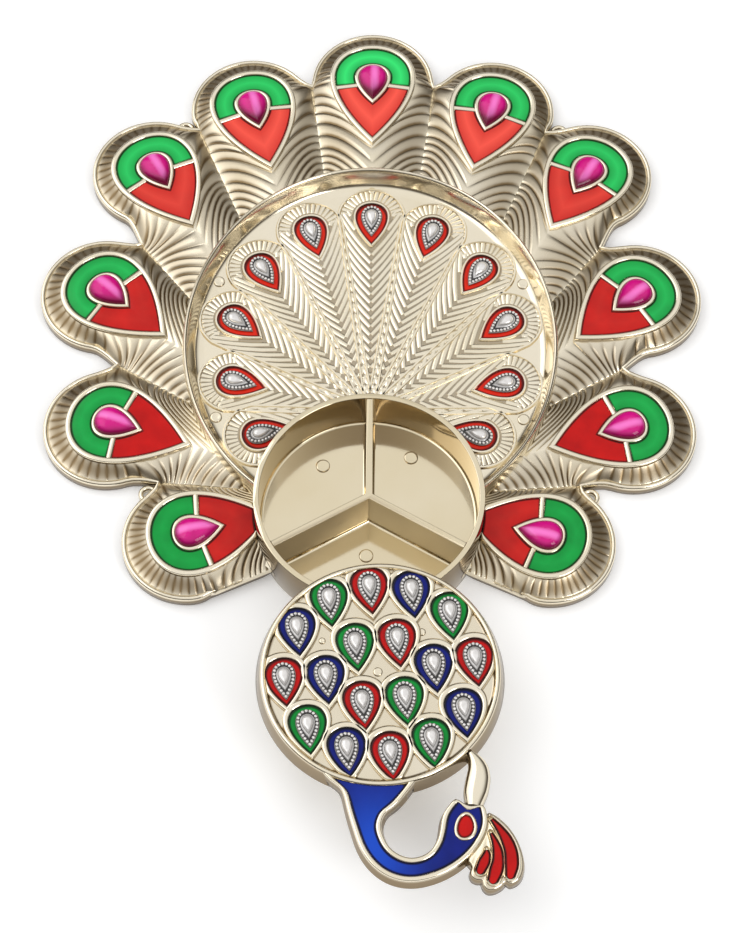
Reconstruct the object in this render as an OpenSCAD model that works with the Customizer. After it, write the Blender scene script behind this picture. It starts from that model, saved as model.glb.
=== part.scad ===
// Peacock kumkum plate: a scalloped tail plate with a sunken tray, a bowl for three powders,
// and a lid shaped as the bird's body, neck and head that swings open on an upright stud.
// Millimetres. The origin is on the table under the middle of the bowl.
// +X is right, +Y runs from the bowl to the top of the tail, +Z is up.

/* [Tray] */
// Half width of the oval rim, left to right
rim_half_w = 47.2; // [44:0.2:52]
// Half length of the oval rim, front to back
rim_half_l = 52.2; // [49:0.2:58]
// Distance from the bowl's axis to the middle of the oval
rim_offset = 46.3; // [43:0.1:50]
// Height of the rim above the table
rim_h = 10; // [9:0.1:12]
// Width of the flat top of the rim
rim_w = 1.2; // [0.8:0.1:2]
// How far the rim's inner wall leans in between its top and the tray floor
rim_draft = 1.9; // [0.8:0.1:3]
// Height of the tray floor above the table
tray_floor_z = 4.5; // [4:0.1:5.5]
// Height of the tray feathers above the tray floor
feather_h = 0.6; // [0.3:0.1:1]
// Half width of the round end of a tray feather
feather_r = 8.6; // [7.5:0.1:9]
// Half width of a tray feather where the feathers meet
feather_root_w = 1; // [0.5:0.1:2]
// Gap between the round end of a tray feather and the foot of the rim's wall
feather_gap = 0.8; // [0.3:0.1:2]

/* [Petals] */
// Distance from the bowl's axis to the point where the petal axes meet
petal_hub_y = 4; // [2:0.5:8]
// Radius of the round end of a petal
lobe_r = 16.4; // [15.5:0.1:18]
// How far the middle of the round end lies beyond the middle of the eye
lobe_shift = 0.6; // [0:0.1:2]
// Half width of a petal where it meets the rim
petal_root_w = 11; // [9:0.5:13]
// Thickness of the plate at its edge
lip_h = 3.2; // [2.6:0.1:4]
// Width of the flat edge outside the fluted slope
lip_w = 1.4; // [1:0.1:2]
// Height of the top of the petal eyes above the table
eye_z = 6.4; // [5.8:0.1:7.4]
// Length of a raised petal eye
eye_l = 32.4; // [30:0.2:34]
// Width of a raised petal eye
eye_w = 23; // [21:0.2:24]
// Width of the metal border round a petal eye
eye_border = 1.5; // [1:0.1:2]
// Width of the two bars between green and red
bar_w = 1.1; // [0.8:0.1:1.6]
// How far the bars lie behind the middle of the eye
bar_back = 2.4; // [1.5:0.1:3]
// Width of the metal collar round a petal gem
collar_w = 1.1; // [0.8:0.1:1.5]
// Depth of the enamel cells
cell_depth = 1.2; // [0.8:0.1:1.4]
// How far the enamel stays below the metal round it
enamel_drop = 0.3; // [0.1:0.05:0.5]
// How far the ridge of a petal stays below the top of its eye
ridge_drop = 0.5; // [0.3:0.1:1.5]
// How much narrower the petal's straight sides start than its round end
side_step = 0.5; // [0.3:0.1:1]
// Height of the ribs on the slopes round the petal eyes
rib_h = 0.8; // [0.4:0.1:1]
// Thickness of the moulded walls under the eyes and the tray
shell_t = 1.6; // [1.2:0.1:1.8]

/* [Stones] */
// Length of a petal gem
gem_l = 10.9; // [10:0.1:12]
// Width of a petal gem
gem_w = 7.6; // [7:0.1:8.4]
// Height of a petal gem
gem_h = 3.4; // [2.8:0.1:4]
// Length of a silver stone
stone_l = 9.3; // [8:0.1:10]
// Width of a silver stone
stone_w = 5.5; // [5:0.1:6]
// Height of a silver stone
stone_h = 1.8; // [1.2:0.1:2.4]
// Length of a tray cell
tray_cell_l = 12.9; // [12:0.1:14]
// Width of a tray cell
tray_cell_w = 8.4; // [7.8:0.1:9.2]
// Gap round a gem or an enamel fill in its seat
seat_gap = 0.05; // [0.03:0.01:0.1]

/* [Eyelets] */
// Radius of an eyelet's hole
eyelet_hole_r = 1.2; // [0.8:0.1:1.4]
// Width of the metal round an eyelet's hole
eyelet_wall = 1.2; // [0.9:0.1:1.6]
// Thickness of an eyelet
eyelet_h = 2; // [1.5:0.1:2.6]
// How far the upper eyelets lie beyond the middle between the petal eyes beside them
eyelet_top_out = 6.6; // [6:0.1:7]
// How far the upper eyelets lie towards the lower of those two petals
eyelet_top_side = 3; // [2:0.1:3.5]
// How far the lower eyelets lie beyond the middle between the petal eyes beside them
eyelet_low_out = 0.3; // [-0.5:0.1:0.8]
// How far the lower eyelets lie towards the lower of those two petals
eyelet_low_side = 2.5; // [2:0.1:3]

/* [Bowl] */
// Outer radius of the bowl
bowl_r = 28; // [27:0.1:29]
// Height of the bowl
bowl_h = 14; // [13:0.1:17]
// Wall thickness of the bowl
bowl_wall = 1.4; // [1.1:0.1:1.8]
// Floor thickness of the bowl
bowl_floor = 2; // [1.4:0.1:2.4]
// Thickness of the divider's three walls
divider_t = 1.6; // [1.2:0.1:2.2]
// How far the divider stays below the bowl's edge
divider_drop = 0.2; // [0.1:0.1:1]
// Gap between the bowl and its socket in the tail plate
socket_gap = 0.1; // [0.05:0.05:0.2]

/* [Pivot] */
// Radius of the lid's stud
stud_r = 1.5; // [1.3:0.1:1.7]
// Gap between the stud and its bore
stud_gap = 0.08; // [0.04:0.01:0.1]
// Wall of the stud's boss round the recess for the washer
boss_wall = 0.6; // [0.5:0.1:1]
// How far the boss stays inside the bowl's outer face
boss_inset = 0.2; // [0.1:0.1:0.4]
// Height of the ledge that the washer hangs under
ledge_z = 4.4; // [4:0.1:5]
// Up and down play of the lid on its pivot
pivot_play = 0.2; // [0.1:0.05:0.3]
// Outer radius of the washer
washer_r = 2.5; // [2.3:0.1:2.6]
// Thickness of the washer
washer_t = 0.8; // [0.5:0.1:1]
// Radius of the screw's head
screw_head_r = 2.2; // [2:0.1:2.4]
// Height of the screw's head
screw_head_h = 1.3; // [1:0.1:1.6]
// Radius of the screw's shank
screw_r = 0.8; // [0.6:0.05:0.9]
// Depth of the screw's hole in the stud
screw_l = 7; // [5:0.5:8]
// Gap at the end of the screw in its hole
screw_end_gap = 0.6; // [0.3:0.1:1]
// Gap between the screw's shank and the washer
washer_gap = 0.1; // [0.05:0.05:0.2]
// Width of the screw's cross slots
slot_w = 0.7; // [0.5:0.05:0.8]
// Depth of the screw's cross slots
slot_d = 0.6; // [0.4:0.1:0.8]
// Gap round the washer in the recess under the bowl
recess_gap = 0.5; // [0.3:0.1:0.6]

/* [Lid] */
// How far the lid's top edge lies inside the bowl's outer face
lid_inset = 0.4; // [0:0.1:1]
// Height of the lid's disc
lid_h = 4.6; // [4:0.1:5.5]
// How much wider the lid is at the bottom than at the top
lid_draft = 1.2; // [0.6:0.1:1.6]
// Gap between the bowl's edge and the lid
lid_gap = 0.3; // [0.2:0.05:0.5]
// Width of the skirt round the hollow under the lid
skirt_w = 2.4; // [1.8:0.1:3]
// Depth of the hollow under the lid
skirt_h = 2; // [1:0.1:2.2]
// Angle of the lid past straight out, as it lies open
lid_turn = 7; // [-20:1:20]
// Length of a lid cell
lid_cell_l = 12; // [11.4:0.1:12.2]
// Width of a lid cell
lid_cell_w = 8.6; // [8:0.1:8.8]
// Distance from the lid's edge to the middles of the outer cells, at the sides
lid_edge_x = 5.5; // [5.4:0.1:6]
// Distance from the lid's edge to the middles of the outer cells, at front and back
lid_edge_y = 6.8; // [6.6:0.1:7.4]
// Distance of the two side cells of the inner group from the lid's middle
lid_inner_side = 12.5; // [12:0.1:13]
// Half the sideways step between the other inner cells
lid_inner_x = 4.9; // [4.8:0.05:5.2]
// Half the lengthwise step between the other inner cells
lid_inner_y = 7.3; // [7.1:0.1:7.6]
// How far the inner group lies towards the neck
lid_inner_shift = 0.5; // [0:0.1:0.6]
// Depth of the lid cells
lid_cell_depth = 1; // [0.6:0.1:1.2]
// Height of the neck and head
neck_h = 3.8; // [3:0.1:4.4]
// How far the neck stays below the top of the lid
neck_drop = 0.4; // [0.2:0.1:0.8]
// Width of the metal edge along the neck
neck_rim = 1.2; // [0.9:0.1:1.6]
// Width of the metal edge along the crest plumes
crest_rim = 0.8; // [0.6:0.1:1.2]
// Half width of the bird's eye
bird_eye_w = 1.8; // [1.4:0.1:2]
// Half length of the bird's eye
bird_eye_l = 2.6; // [2:0.1:2.8]
// Width of the metal ring round the bird's eye
bird_eye_ring = 0.7; // [0.5:0.1:0.9]

/* [Hidden] */
$fn = 64;
petals = 11;
side_petals = 5;
drop_pts = 36;
stone_pts = 20;
oval_pts = 90;
cut_over = 1;
embed = 0.6;

// From the top petal down one side: angle from the middle line, and distance of the eye from the rim
petal_angle = [0, 15.3, 30.6, 49.2, 72.9, 104];
petal_beyond = [31.5, 30.8, 32.3, 27.5, 27.5, 24];
// How far the notch between two petals lies beyond the middle between their eyes
notch_beyond = [4.6, 5, -3.9, -2.1, -1.6];
// Angles of the tray feathers from the middle line
feather_angle = [0, 16.4, 33.9, 52.6, 76.2, 103.9];

// Neck of the bird from the lid to the head, then its beak and its three plumes.
// Each station is a place measured from the lid's front edge, with the stud straight behind it,
// and the half width of the shape there.
neck_path = [[-4.6, 4, 10.6], [-5.3, -0.6, 6.5], [-6.8, -4.4, 3.6], [-7.3, -8.7, 2], [-6.7, -12.5, 1.8],
    [-5.2, -16, 1.7], [-2.5, -18.7, 1.7], [1, -20.1, 1.6], [4.8, -19.9, 1.6], [8.3, -18.5, 2],
    [11.2, -16.1, 2.8], [13.4, -13, 3.7], [14.9, -9.6, 4], [16, -6.6, 2.7]];
head_end = [14.8, -5.6, 2.6];
beak_path = [[16.6, -6.6, 2.9], [18, -3.4, 2.9], [19.1, 0, 2.5], [19.4, 2.4, 1.6], [19.3, 4.6, 0.9],
    [18.8, 7.4, 0.8]];
plume_paths = [
    [[20.6, -10.4, 0.3], [22, -12.8, 0.6], [23.2, -15.5, 0.9], [23.8, -18.4, 1], [23.6, -21.4, 1.1],
    [23, -23.6, 0.8]],
    [[20, -13.6, 0.3], [20.6, -15.7, 0.5], [20.9, -17.9, 0.7], [20.7, -20.2, 0.9], [20, -22.3, 1.2],
    [19.1, -24.2, 1]],
    [[18.5, -17.4, 0.3], [18.4, -18.4, 0.6], [18, -19.4, 0.8], [17.5, -20.3, 1], [16.6, -21.8, 0.9]]];
crest_edge = [[16, -12], [20, -8.8], [21, -9], [22.4, -10.2], [24, -12.2], [25.4, -15], [26.2, -18],
    [26.4, -20.8],
    [25.8, -23.3], [24.6, -24.9], [22.8, -25.6], [21.8, -25], [20.6, -25.9], [19, -26.5],
    [17.6, -26.4], [16.8, -25.4],
    [16.5, -24.1], [15.4, -23.8], [14.5, -23.1], [14.3, -21.9], [14.8, -20.6], [13, -18]];
bird_eye_at = [14.6, -11.6];
bird_eye_tilt = -16;
path_steps = 8;

// Colours that repeat clockwise round the outer lid cells from the stud, and round the inner group
outer_colours = ["red", "blue", "green"];
inner_colours = ["green", "red", "blue"];
outer_turns = [0, 26, 54, 90, 126, 154, 180, 206, 234, 270, 306, 334];
outer_cell_n = len(outer_turns);
// Radius of the lid that the sizes and places of its cells are given for
lid_layout_r = 27.6;
inner_cell_n = 6;
// Slope at which a domed stone's top is flattened
dome_end = 78;

cell_floor_z = eye_z - cell_depth;
feather_z = tray_floor_z + feather_h;
socket_r = bowl_r + socket_gap;
recess_r = washer_r + recess_gap;
boss_r = recess_r + boss_wall;
pivot_r = bowl_r - boss_inset - boss_r;
lid_r = bowl_r - lid_inset;
// The feathers meet at the bowl's back edge, and the lid's cells keep their share of its radius
feather_hub_y = bowl_r;
lid_fit = lid_r / lid_layout_r;
lid_drop_l = lid_cell_l * lid_fit;
lid_drop_w = lid_cell_w * lid_fit;
// The neck's enamel starts a little outside the lid's side, where that meets the cell's floor
neck_start_r = lid_r + lid_draft * (neck_drop + lid_cell_depth) / lid_h + 0.15;
washer_z = ledge_z - pivot_play - washer_t;
lid_z = bowl_h + lid_gap;
lid_top_z = lid_z + lid_h;
neck_top_z = lid_top_z - neck_drop;
floor_half_w = rim_half_w - rim_w - rim_draft;
floor_half_l = rim_half_l - rim_w - rim_draft;

function two(n) = str(n < 10 ? "0" : "", n);
function names(stem) = [for (k = [1 : petals]) str(stem, "_", two(k))];

// Petal k runs from 1 at the lower left, over 6 at the top, to 11 at the lower right
function step_of(k) = abs(k - 1 - side_petals);
function side_of(k) = k - 1 < side_petals ? -1 : 1;
function petal_turn(k) = side_of(k) * petal_angle[step_of(k)];
function feather_turn(k) = side_of(k) * feather_angle[step_of(k)];
function heading(a) = [sin(a), cos(a)];

// Distance from a point on the middle line to an oval about the rim's middle, along a heading
function to_oval(from_y, a, half_w, half_l) =
    let (u = heading(a), dy = from_y - rim_offset,
        qa = pow(u[0] / half_w, 2) + pow(u[1] / half_l, 2),
        qb = u[1] * dy / (half_l * half_l),
        qc = pow(dy / half_l, 2) - 1)
    (-qb + sqrt(qb * qb - qa * qc)) / qa;
function rim_reach(k) = to_oval(petal_hub_y, petal_turn(k), rim_half_w, rim_half_l);
function eye_reach(k) = rim_reach(k) + petal_beyond[step_of(k)];
function feather_reach(k) =
    to_oval(feather_hub_y, feather_turn(k), floor_half_w, floor_half_l) - feather_r - feather_gap;

// A drop outline: round at +Y, pointed at -Y, with its widest place at the origin
function drop(l, w, n) = [for (i = [0 : n - 1])
    let (t = 360 * i / n)
    [w / 1.54 * sin(t) * sin(t / 2), -l / 2 * cos(t) - l / 6]];
function oval(half_w, half_l) = [for (i = [0 : oval_pts - 1])
    let (t = 360 * i / oval_pts)
    [half_w * cos(t), rim_offset + half_l * sin(t)]];

// A smooth curve through the stations of a path, and the outline of the shape along it
function curve(a, b, c, d, t) = 0.5 * (2 * b + (c - a) * t + (2 * a - 5 * b + 4 * c - d) * t * t
    + (3 * b - a - 3 * c + d) * t * t * t);
function along(path, u) =
    let (last = len(path) - 1, i = min(floor(u), last - 1))
    curve(path[max(i - 1, 0)], path[i], path[i + 1], path[min(i + 2, last)], u - i);
function path_edge(path, side, extra) = [for (j = [0 : (len(path) - 1) * path_steps])
    let (u = j / path_steps, p = along(path, u), e = 0.05,
        d = along(path, min(u + e, len(path) - 1)) - along(path, max(u - e, 0)),
        s = norm([d[0], d[1]]), w = (p[2] + extra) * side / s)
    [p[0] - d[1] * w, p[1] + d[0] * w]];
function reversed(v) = [for (i = [len(v) - 1 : -1 : 0]) v[i]];
function path_outline(path, extra) = concat(path_edge(path, 1, extra), reversed(path_edge(path, -1, extra)));

// Placing
module at_eye(k) {
    translate([0, petal_hub_y, 0]) rotate(-petal_turn(k)) translate([0, eye_reach(k), 0]) children();
}
module at_feather_end(k) {
    translate([0, feather_hub_y, 0]) rotate(-feather_turn(k)) translate([0, feather_reach(k), 0]) children();
}
module at_pivot() { translate([0, -pivot_r, 0]) children(); }
module on_lid() { at_pivot() rotate(lid_turn) translate([0, -pivot_r, 0]) children(); }
module raised(z0, z1) { translate([0, 0, z0]) linear_extrude(z1 - z0) children(); }

// A solid between two outlines with the same number of points
module loft(low, high, z0, z1) {
    n = len(low);
    points = concat([for (p = low) [p[0], p[1], z0]], [for (p = high) [p[0], p[1], z1]]);
    sides = [for (i = [0 : n - 1]) each let (j = (i + 1) % n) [[i, n + i, n + j], [i, n + j, j]]];
    polyhedron(points, concat([[for (i = [0 : n - 1]) i]], [[for (i = [n - 1 : -1 : 0]) n + i]], sides));
}
// The same with a rib at every second point, half way up
module ribbed_loft(low, high, z0, z1) {
    n = len(low);
    middle = [for (i = [0 : n - 1])
        let (p = (low[i] + high[i]) / 2)
        [p[0], p[1], (z0 + z1) / 2 + rib_h * (i % 2 - 0.75)]];
    points = concat([for (p = low) [p[0], p[1], z0]], middle, [for (p = high) [p[0], p[1], z1]]);
    sides = [for (r = [0, 1]) each [for (i = [0 : n - 1])
        each let (j = (i + 1) % n, a = r * n, b = a + n) [[a + i, b + i, b + j], [a + i, b + j, a + j]]]];
    polyhedron(points, concat([[for (i = [0 : n - 1]) i]],
    [[for (i = [n - 1 : -1 : 0]) 2 * n + i]], sides));
}
// A domed drop stone: an upright girdle, then rings that close in towards the top
module dome(l, w, h, n, girdle, rings) {
    levels = [for (r = [0 : rings])
        let (a = dome_end * r / rings)
        [cos(a), girdle + (h - girdle) * sin(a) / sin(dome_end)]];
    outlines = concat([[1, 0]], levels);
    ring_n = len(outlines);
    points = [for (o = outlines) each [for (p = drop(l, w, n)) [p[0] * o[0], p[1] * o[0], o[1]]]];
    sides = [for (r = [0 : ring_n - 2]) each [for (i = [0 : n - 1])
        each let (j = (i + 1) % n, a = r * n, b = a + n) [[a + i, b + i, b + j], [a + i, b + j, a + j]]]];
    top = (ring_n - 1) * n;
    polyhedron(points, concat([[for (i = [0 : n - 1]) i]],
    [[for (i = [n - 1 : -1 : 0]) top + i]], sides));
}

// Outlines of the petals
module petal_outline(k) {
    root = rim_reach(k) - eye_reach(k);
    at_eye(k) {
        translate([0, lobe_shift]) circle(lobe_r);
        polygon([[side_step - lobe_r, 0], [lobe_r - side_step, 0],
            [petal_root_w, root], [-petal_root_w, root]]);
    }
}
// The web that joins the petals reaches out to the notches between them
function eye_at(k) = [0, petal_hub_y] + eye_reach(k) * heading(petal_turn(k));
function between(k, out, side) =
    let (middle = (eye_at(k) + eye_at(k + 1)) / 2, v = middle - [0, petal_hub_y], u = v / norm(v))
    middle + out * u + side * [u[1], -u[0]];
function notch_at(k) = between(k, notch_beyond[max(step_of(k), step_of(k + 1)) - 1], 0);
module petal_web() {
    polygon(concat([[0, petal_hub_y]], [for (k = [1 : petals - 1]) notch_at(k)]));
}
module eye_inside() { polygon(drop(eye_l - 2 * eye_border, eye_w - 2 * eye_border, drop_pts)); }
module collar_outside() { polygon(drop(gem_l + 2 * collar_w, gem_w + 2 * collar_w, drop_pts)); }
module gem_seat() { polygon(drop(gem_l + 2 * seat_gap, gem_w + 2 * seat_gap, drop_pts)); }
module green_cell() {
    difference() {
        eye_inside();
        collar_outside();
        translate([-eye_w, bar_w / 2 - bar_back - eye_l]) square([2 * eye_w, eye_l]);
    }
}
module red_cell() {
    difference() {
        eye_inside();
        collar_outside();
        translate([-eye_w, -bar_w / 2 - bar_back]) square([2 * eye_w, eye_l]);
    }
}
module bowl_space() { cylinder(h = 4 * bowl_h, r = socket_r, center = true); }

// The ribbed slope from the lip to the raised eye, and the ridge from the eye's tip to the rim
module petal_mound(k) {
    round_end = lobe_r + lobe_shift - lip_w;
    foot = drop(3 * round_end, 2 * (lobe_r - lip_w - side_step), drop_pts);
    root = rim_reach(k) - eye_reach(k) - rim_w;
    low = lip_h - embed;
    ridge_z = eye_z - ridge_drop;
    at_eye(k) {
        ribbed_loft(foot, drop(eye_l, eye_w, drop_pts), low, eye_z);
        polyhedron([[-petal_root_w, root, low], [petal_root_w, root, low],
                [petal_root_w, -eye_l / 4, low], [-petal_root_w, -eye_l / 4, low],
                [0, root, ridge_z], [0, -eye_l / 4, ridge_z]],
            [[0, 1, 2, 3], [0, 4, 1], [2, 5, 3], [0, 3, 5, 4], [1, 4, 5, 2]]);
    }
}

// The upper eyelets stand below the second petal from the top, the lower ones above the last
module eyelet_places() {
    for (m = [0, 1]) mirror([m, 0, 0]) {
        translate(between(side_petals + 2, eyelet_top_out, eyelet_top_side)) children();
        translate(between(petals - 1, eyelet_low_out, eyelet_low_side)) children();
    }
}

module tail_plate() {
    color("#cdb98c") difference() {
        union() {
            raised(0, lip_h) {
                for (k = [1 : petals]) petal_outline(k);
                petal_web();
                polygon(oval(rim_half_w, rim_half_l));
            }
            for (k = [1 : petals]) petal_mound(k);
            raised(lip_h - embed, rim_h) polygon(oval(rim_half_w, rim_half_l));
            eyelet_places() cylinder(h = eyelet_h, r = eyelet_hole_r + eyelet_wall);
        }
        tray_space();
        under_tray();
        for (k = [1 : petals]) at_eye(k) {
            raised(cell_floor_z, eye_z + cut_over) {
                green_cell();
                red_cell();
                gem_seat();
            }
            raised(-cut_over, cell_floor_z - shell_t)
                polygon(drop(eye_l + shell_t, eye_w + shell_t, drop_pts));
        }
        for (k = [1 : petals]) at_feather_end(k)
            raised(tray_floor_z - embed, rim_h) polygon(drop(tray_cell_l, tray_cell_w, drop_pts));
        eyelet_places() cylinder(h = 4 * lip_h, r = eyelet_hole_r, center = true);
        bowl_space();
    }
}
// The tray's space above its feathers: the sloping wall of the rim, then round the raised feathers
module tray_space() {
    over = rim_draft * cut_over / (rim_h - feather_z);
    loft(oval(floor_half_w, floor_half_l),
        oval(floor_half_w + rim_draft + over, floor_half_l + rim_draft + over), feather_z, rim_h + cut_over);
    raised(tray_floor_z, feather_z + cut_over / 2) difference() {
        polygon(oval(floor_half_w, floor_half_l));
        for (k = [1 : petals]) feather_outline(k);
        circle(socket_r + feather_gap);
    }
}
module feather_outline(k) {
    reach = feather_reach(k);
    at_feather_end(k) {
        circle(feather_r);
        polygon([[-feather_r, 0], [feather_r, 0], [feather_root_w, -reach], [-feather_root_w, -reach]]);
    }
}
// The hollow under the tray leaves a wall round the bowl's socket
module under_tray() {
    raised(-cut_over, tray_floor_z - embed - shell_t) difference() {
        polygon(oval(floor_half_w - shell_t, floor_half_l - shell_t));
        circle(socket_r + shell_t);
    }
}

// Enamel and gems of the petals
module petal_green_enamel(k) {
    color("#17a63f") at_eye(k)
        raised(cell_floor_z, eye_z - enamel_drop) offset(delta = -seat_gap) green_cell();
}
module petal_red_enamel(k) {
    color("#d4161a") difference() {
        at_eye(k) raised(cell_floor_z, eye_z - enamel_drop) offset(delta = -seat_gap) red_cell();
        bowl_space();
    }
}
module petal_gem(k) {
    color("#e0209a") at_eye(k) translate([0, 0, cell_floor_z]) dome(gem_l, gem_w, gem_h, stone_pts, 1, 3);
}

// Enamel and stones of the tray
module tray_enamel() {
    color("#e8381e") for (k = [1 : petals]) at_feather_end(k)
        raised(tray_floor_z - embed, feather_z - enamel_drop)
            polygon(drop(tray_cell_l - 2 * seat_gap, tray_cell_w - 2 * seat_gap, drop_pts));
}
module silver_stone() { dome(stone_l, stone_w, stone_h, stone_pts, stone_h / 2, 2); }
module tray_stone(k) {
    color("#d8d6d2") at_feather_end(k) translate([0, 0, feather_z - enamel_drop]) silver_stone();
}

module kumkum_bowl() {
    inner_r = bowl_r - bowl_wall;
    color("#c8b27c") difference() {
        union() {
            rotate_extrude($fn = 128) polygon([[0, 0], [bowl_r, 0], [bowl_r, bowl_h], [inner_r, bowl_h],
                [inner_r, bowl_floor], [0, bowl_floor]]);
            for (a = [90, 210, 330]) rotate(a) translate([0, -divider_t / 2, bowl_floor / 2])
                cube([bowl_r - bowl_wall / 2, divider_t, bowl_h - divider_drop - bowl_floor / 2]);
            at_pivot() cylinder(h = bowl_h, r = boss_r);
        }
        at_pivot() {
            cylinder(h = 4 * bowl_h, r = stud_r + stud_gap, center = true);
            translate([0, 0, -cut_over]) cylinder(h = ledge_z + cut_over, r = recess_r);
        }
    }
}

// Lid: places of its cells, then the solids
function outer_cells() = [for (i = [0 : outer_cell_n - 1])
    let (a = outer_turns[i])
    lid_fit * [(lid_layout_r - lid_edge_x) * sin(a), (lid_layout_r - lid_edge_y) * cos(a)]];
function inner_cells() = [for (p = [[-lid_inner_x, lid_inner_y], [lid_inner_x, lid_inner_y],
    [lid_inner_side, 0], [lid_inner_x, -lid_inner_y], [-lid_inner_x, -lid_inner_y], [-lid_inner_side, 0]])
    lid_fit * [p[0], p[1] - lid_inner_shift]];
lid_cells = concat(outer_cells(), inner_cells());
lid_cell_colours = concat([for (i = [0 : outer_cell_n - 1]) outer_colours[i % 3]],
    [for (i = [0 : inner_cell_n - 1]) inner_colours[i % 3]]);

// A drop is placed by the middle of its length
module at_front_edge() { translate([0, -lid_r, 0]) children(); }
module at_lid_cell(i, l) { translate([lid_cells[i][0], lid_cells[i][1] + l / 6, 0]) children(); }
module bird_eye(extra) {
    translate(bird_eye_at) rotate(bird_eye_tilt)
        polygon([for (t = [0 : 15 : 345]) [(bird_eye_w + extra) * cos(t), (bird_eye_l + extra) * sin(t)]]);
}
module neck_cell(gap) {
    difference() {
        at_front_edge() polygon(path_outline(neck_path, -gap));
        circle(neck_start_r + gap, $fn = 128);
        at_front_edge() bird_eye(bird_eye_ring + gap);
    }
}
module crest_cells(gap) { for (p = plume_paths) polygon(path_outline(p, -gap)); }
module peacock_lid() {
    neck_z = neck_top_z - neck_h;
    color("#cdb98c") on_lid() difference() {
        union() {
            translate([0, 0, lid_z]) cylinder(h = lid_h, r1 = lid_r + lid_draft, r2 = lid_r, $fn = 128);
            raised(neck_z, neck_top_z) at_front_edge() {
                polygon(path_outline(neck_path, neck_rim));
                polygon(path_outline(beak_path, 0));
                for (p = plume_paths) polygon(path_outline(p, crest_rim));
                translate([head_end[0], head_end[1]]) circle(head_end[2]);
                polygon(crest_edge);
            }
        }
        raised(lid_z - cut_over, lid_z + skirt_h) difference() {
            circle(lid_r - skirt_w, $fn = 128);
            translate([0, pivot_r]) circle(boss_r - embed);
        }
        for (i = [0 : len(lid_cells) - 1]) at_lid_cell(i, lid_drop_l)
            raised(lid_top_z - lid_cell_depth, lid_top_z + cut_over)
                polygon(drop(lid_drop_l, lid_drop_w, drop_pts));
        raised(neck_top_z - lid_cell_depth, lid_top_z + cut_over) {
            neck_cell(0);
            at_front_edge() bird_eye(0);
            at_front_edge() crest_cells(0);
        }
    }
    color("#cdb98c") lid_stud();
}
// The stud stands on a pad in the lid's hollow, and the screw runs up into it
module lid_stud() {
    stud_end = ledge_z - pivot_play;
    at_pivot() difference() {
        translate([0, 0, stud_end]) cylinder(h = lid_z - stud_end + embed, r = stud_r);
        translate([0, 0, stud_end - cut_over]) cylinder(h = screw_l + cut_over, r = screw_r);
    }
}
module lid_enamel(name) {
    on_lid() for (i = [0 : len(lid_cells) - 1]) if (lid_cell_colours[i] == name) at_lid_cell(i, lid_drop_l)
        raised(lid_top_z - lid_cell_depth, lid_top_z - enamel_drop)
            polygon(drop(lid_drop_l - 2 * seat_gap, lid_drop_w - 2 * seat_gap, drop_pts));
}
module lid_red_enamel() { color("#c81a1e") lid_enamel("red"); }
module lid_green_enamel() { color("#1c9a3c") lid_enamel("green"); }
module lid_blue_enamel() { color("#1e2f7e") lid_enamel("blue"); }
module lid_stones() {
    color("#d8d6d2") on_lid() for (i = [0 : len(lid_cells) - 1]) at_lid_cell(i, stone_l)
        translate([0, 0, lid_top_z - enamel_drop]) silver_stone();
}
module neck_enamel() {
    color("#1e2f9e") on_lid() raised(neck_top_z - lid_cell_depth, neck_top_z - enamel_drop)
        neck_cell(seat_gap);
}
module eye_enamel() {
    color("#d4161a") on_lid() raised(neck_top_z - lid_cell_depth, neck_top_z - enamel_drop)
        at_front_edge() bird_eye(-seat_gap);
}
module crest_enamel() {
    color("#d4161a") on_lid() raised(neck_top_z - lid_cell_depth, neck_top_z - enamel_drop)
        at_front_edge() crest_cells(seat_gap);
}

// Pivot hardware, held to the stud from below
module pivot_washer() {
    color("#b9bcc0") at_pivot() translate([0, 0, washer_z]) difference() {
        cylinder(h = washer_t, r = washer_r);
        translate([0, 0, -cut_over]) cylinder(h = washer_t + 2 * cut_over, r = screw_r + washer_gap);
    }
}
module pivot_screw() {
    slot_l = 2 * screw_head_r - 2 * slot_w;
    color("#a9adb2") at_pivot() translate([0, 0, washer_z]) difference() {
        union() {
            translate([0, 0, -screw_head_h]) cylinder(h = screw_head_h, r = screw_head_r);
            translate([0, 0, -screw_head_h / 2])
                cylinder(h = screw_head_h / 2 + washer_t + screw_l - screw_end_gap, r = screw_r);
        }
        for (a = [0, 90]) rotate(a) translate([-slot_l / 2, -slot_w / 2, -screw_head_h - cut_over])
            cube([slot_l, slot_w, slot_d + cut_over]);
    }
}

tail_plate();
kumkum_bowl();
peacock_lid();
pivot_screw();
pivot_washer();
for (k = [1 : petals]) {
    petal_green_enamel(k);
    petal_red_enamel(k);
    petal_gem(k);
    tray_stone(k);
}
tray_enamel();
lid_red_enamel();
lid_green_enamel();
lid_blue_enamel();
lid_stones();
neck_enamel();
eye_enamel();
crest_enamel();
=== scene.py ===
import math

import bpy
from mathutils import Matrix, Vector


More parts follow.
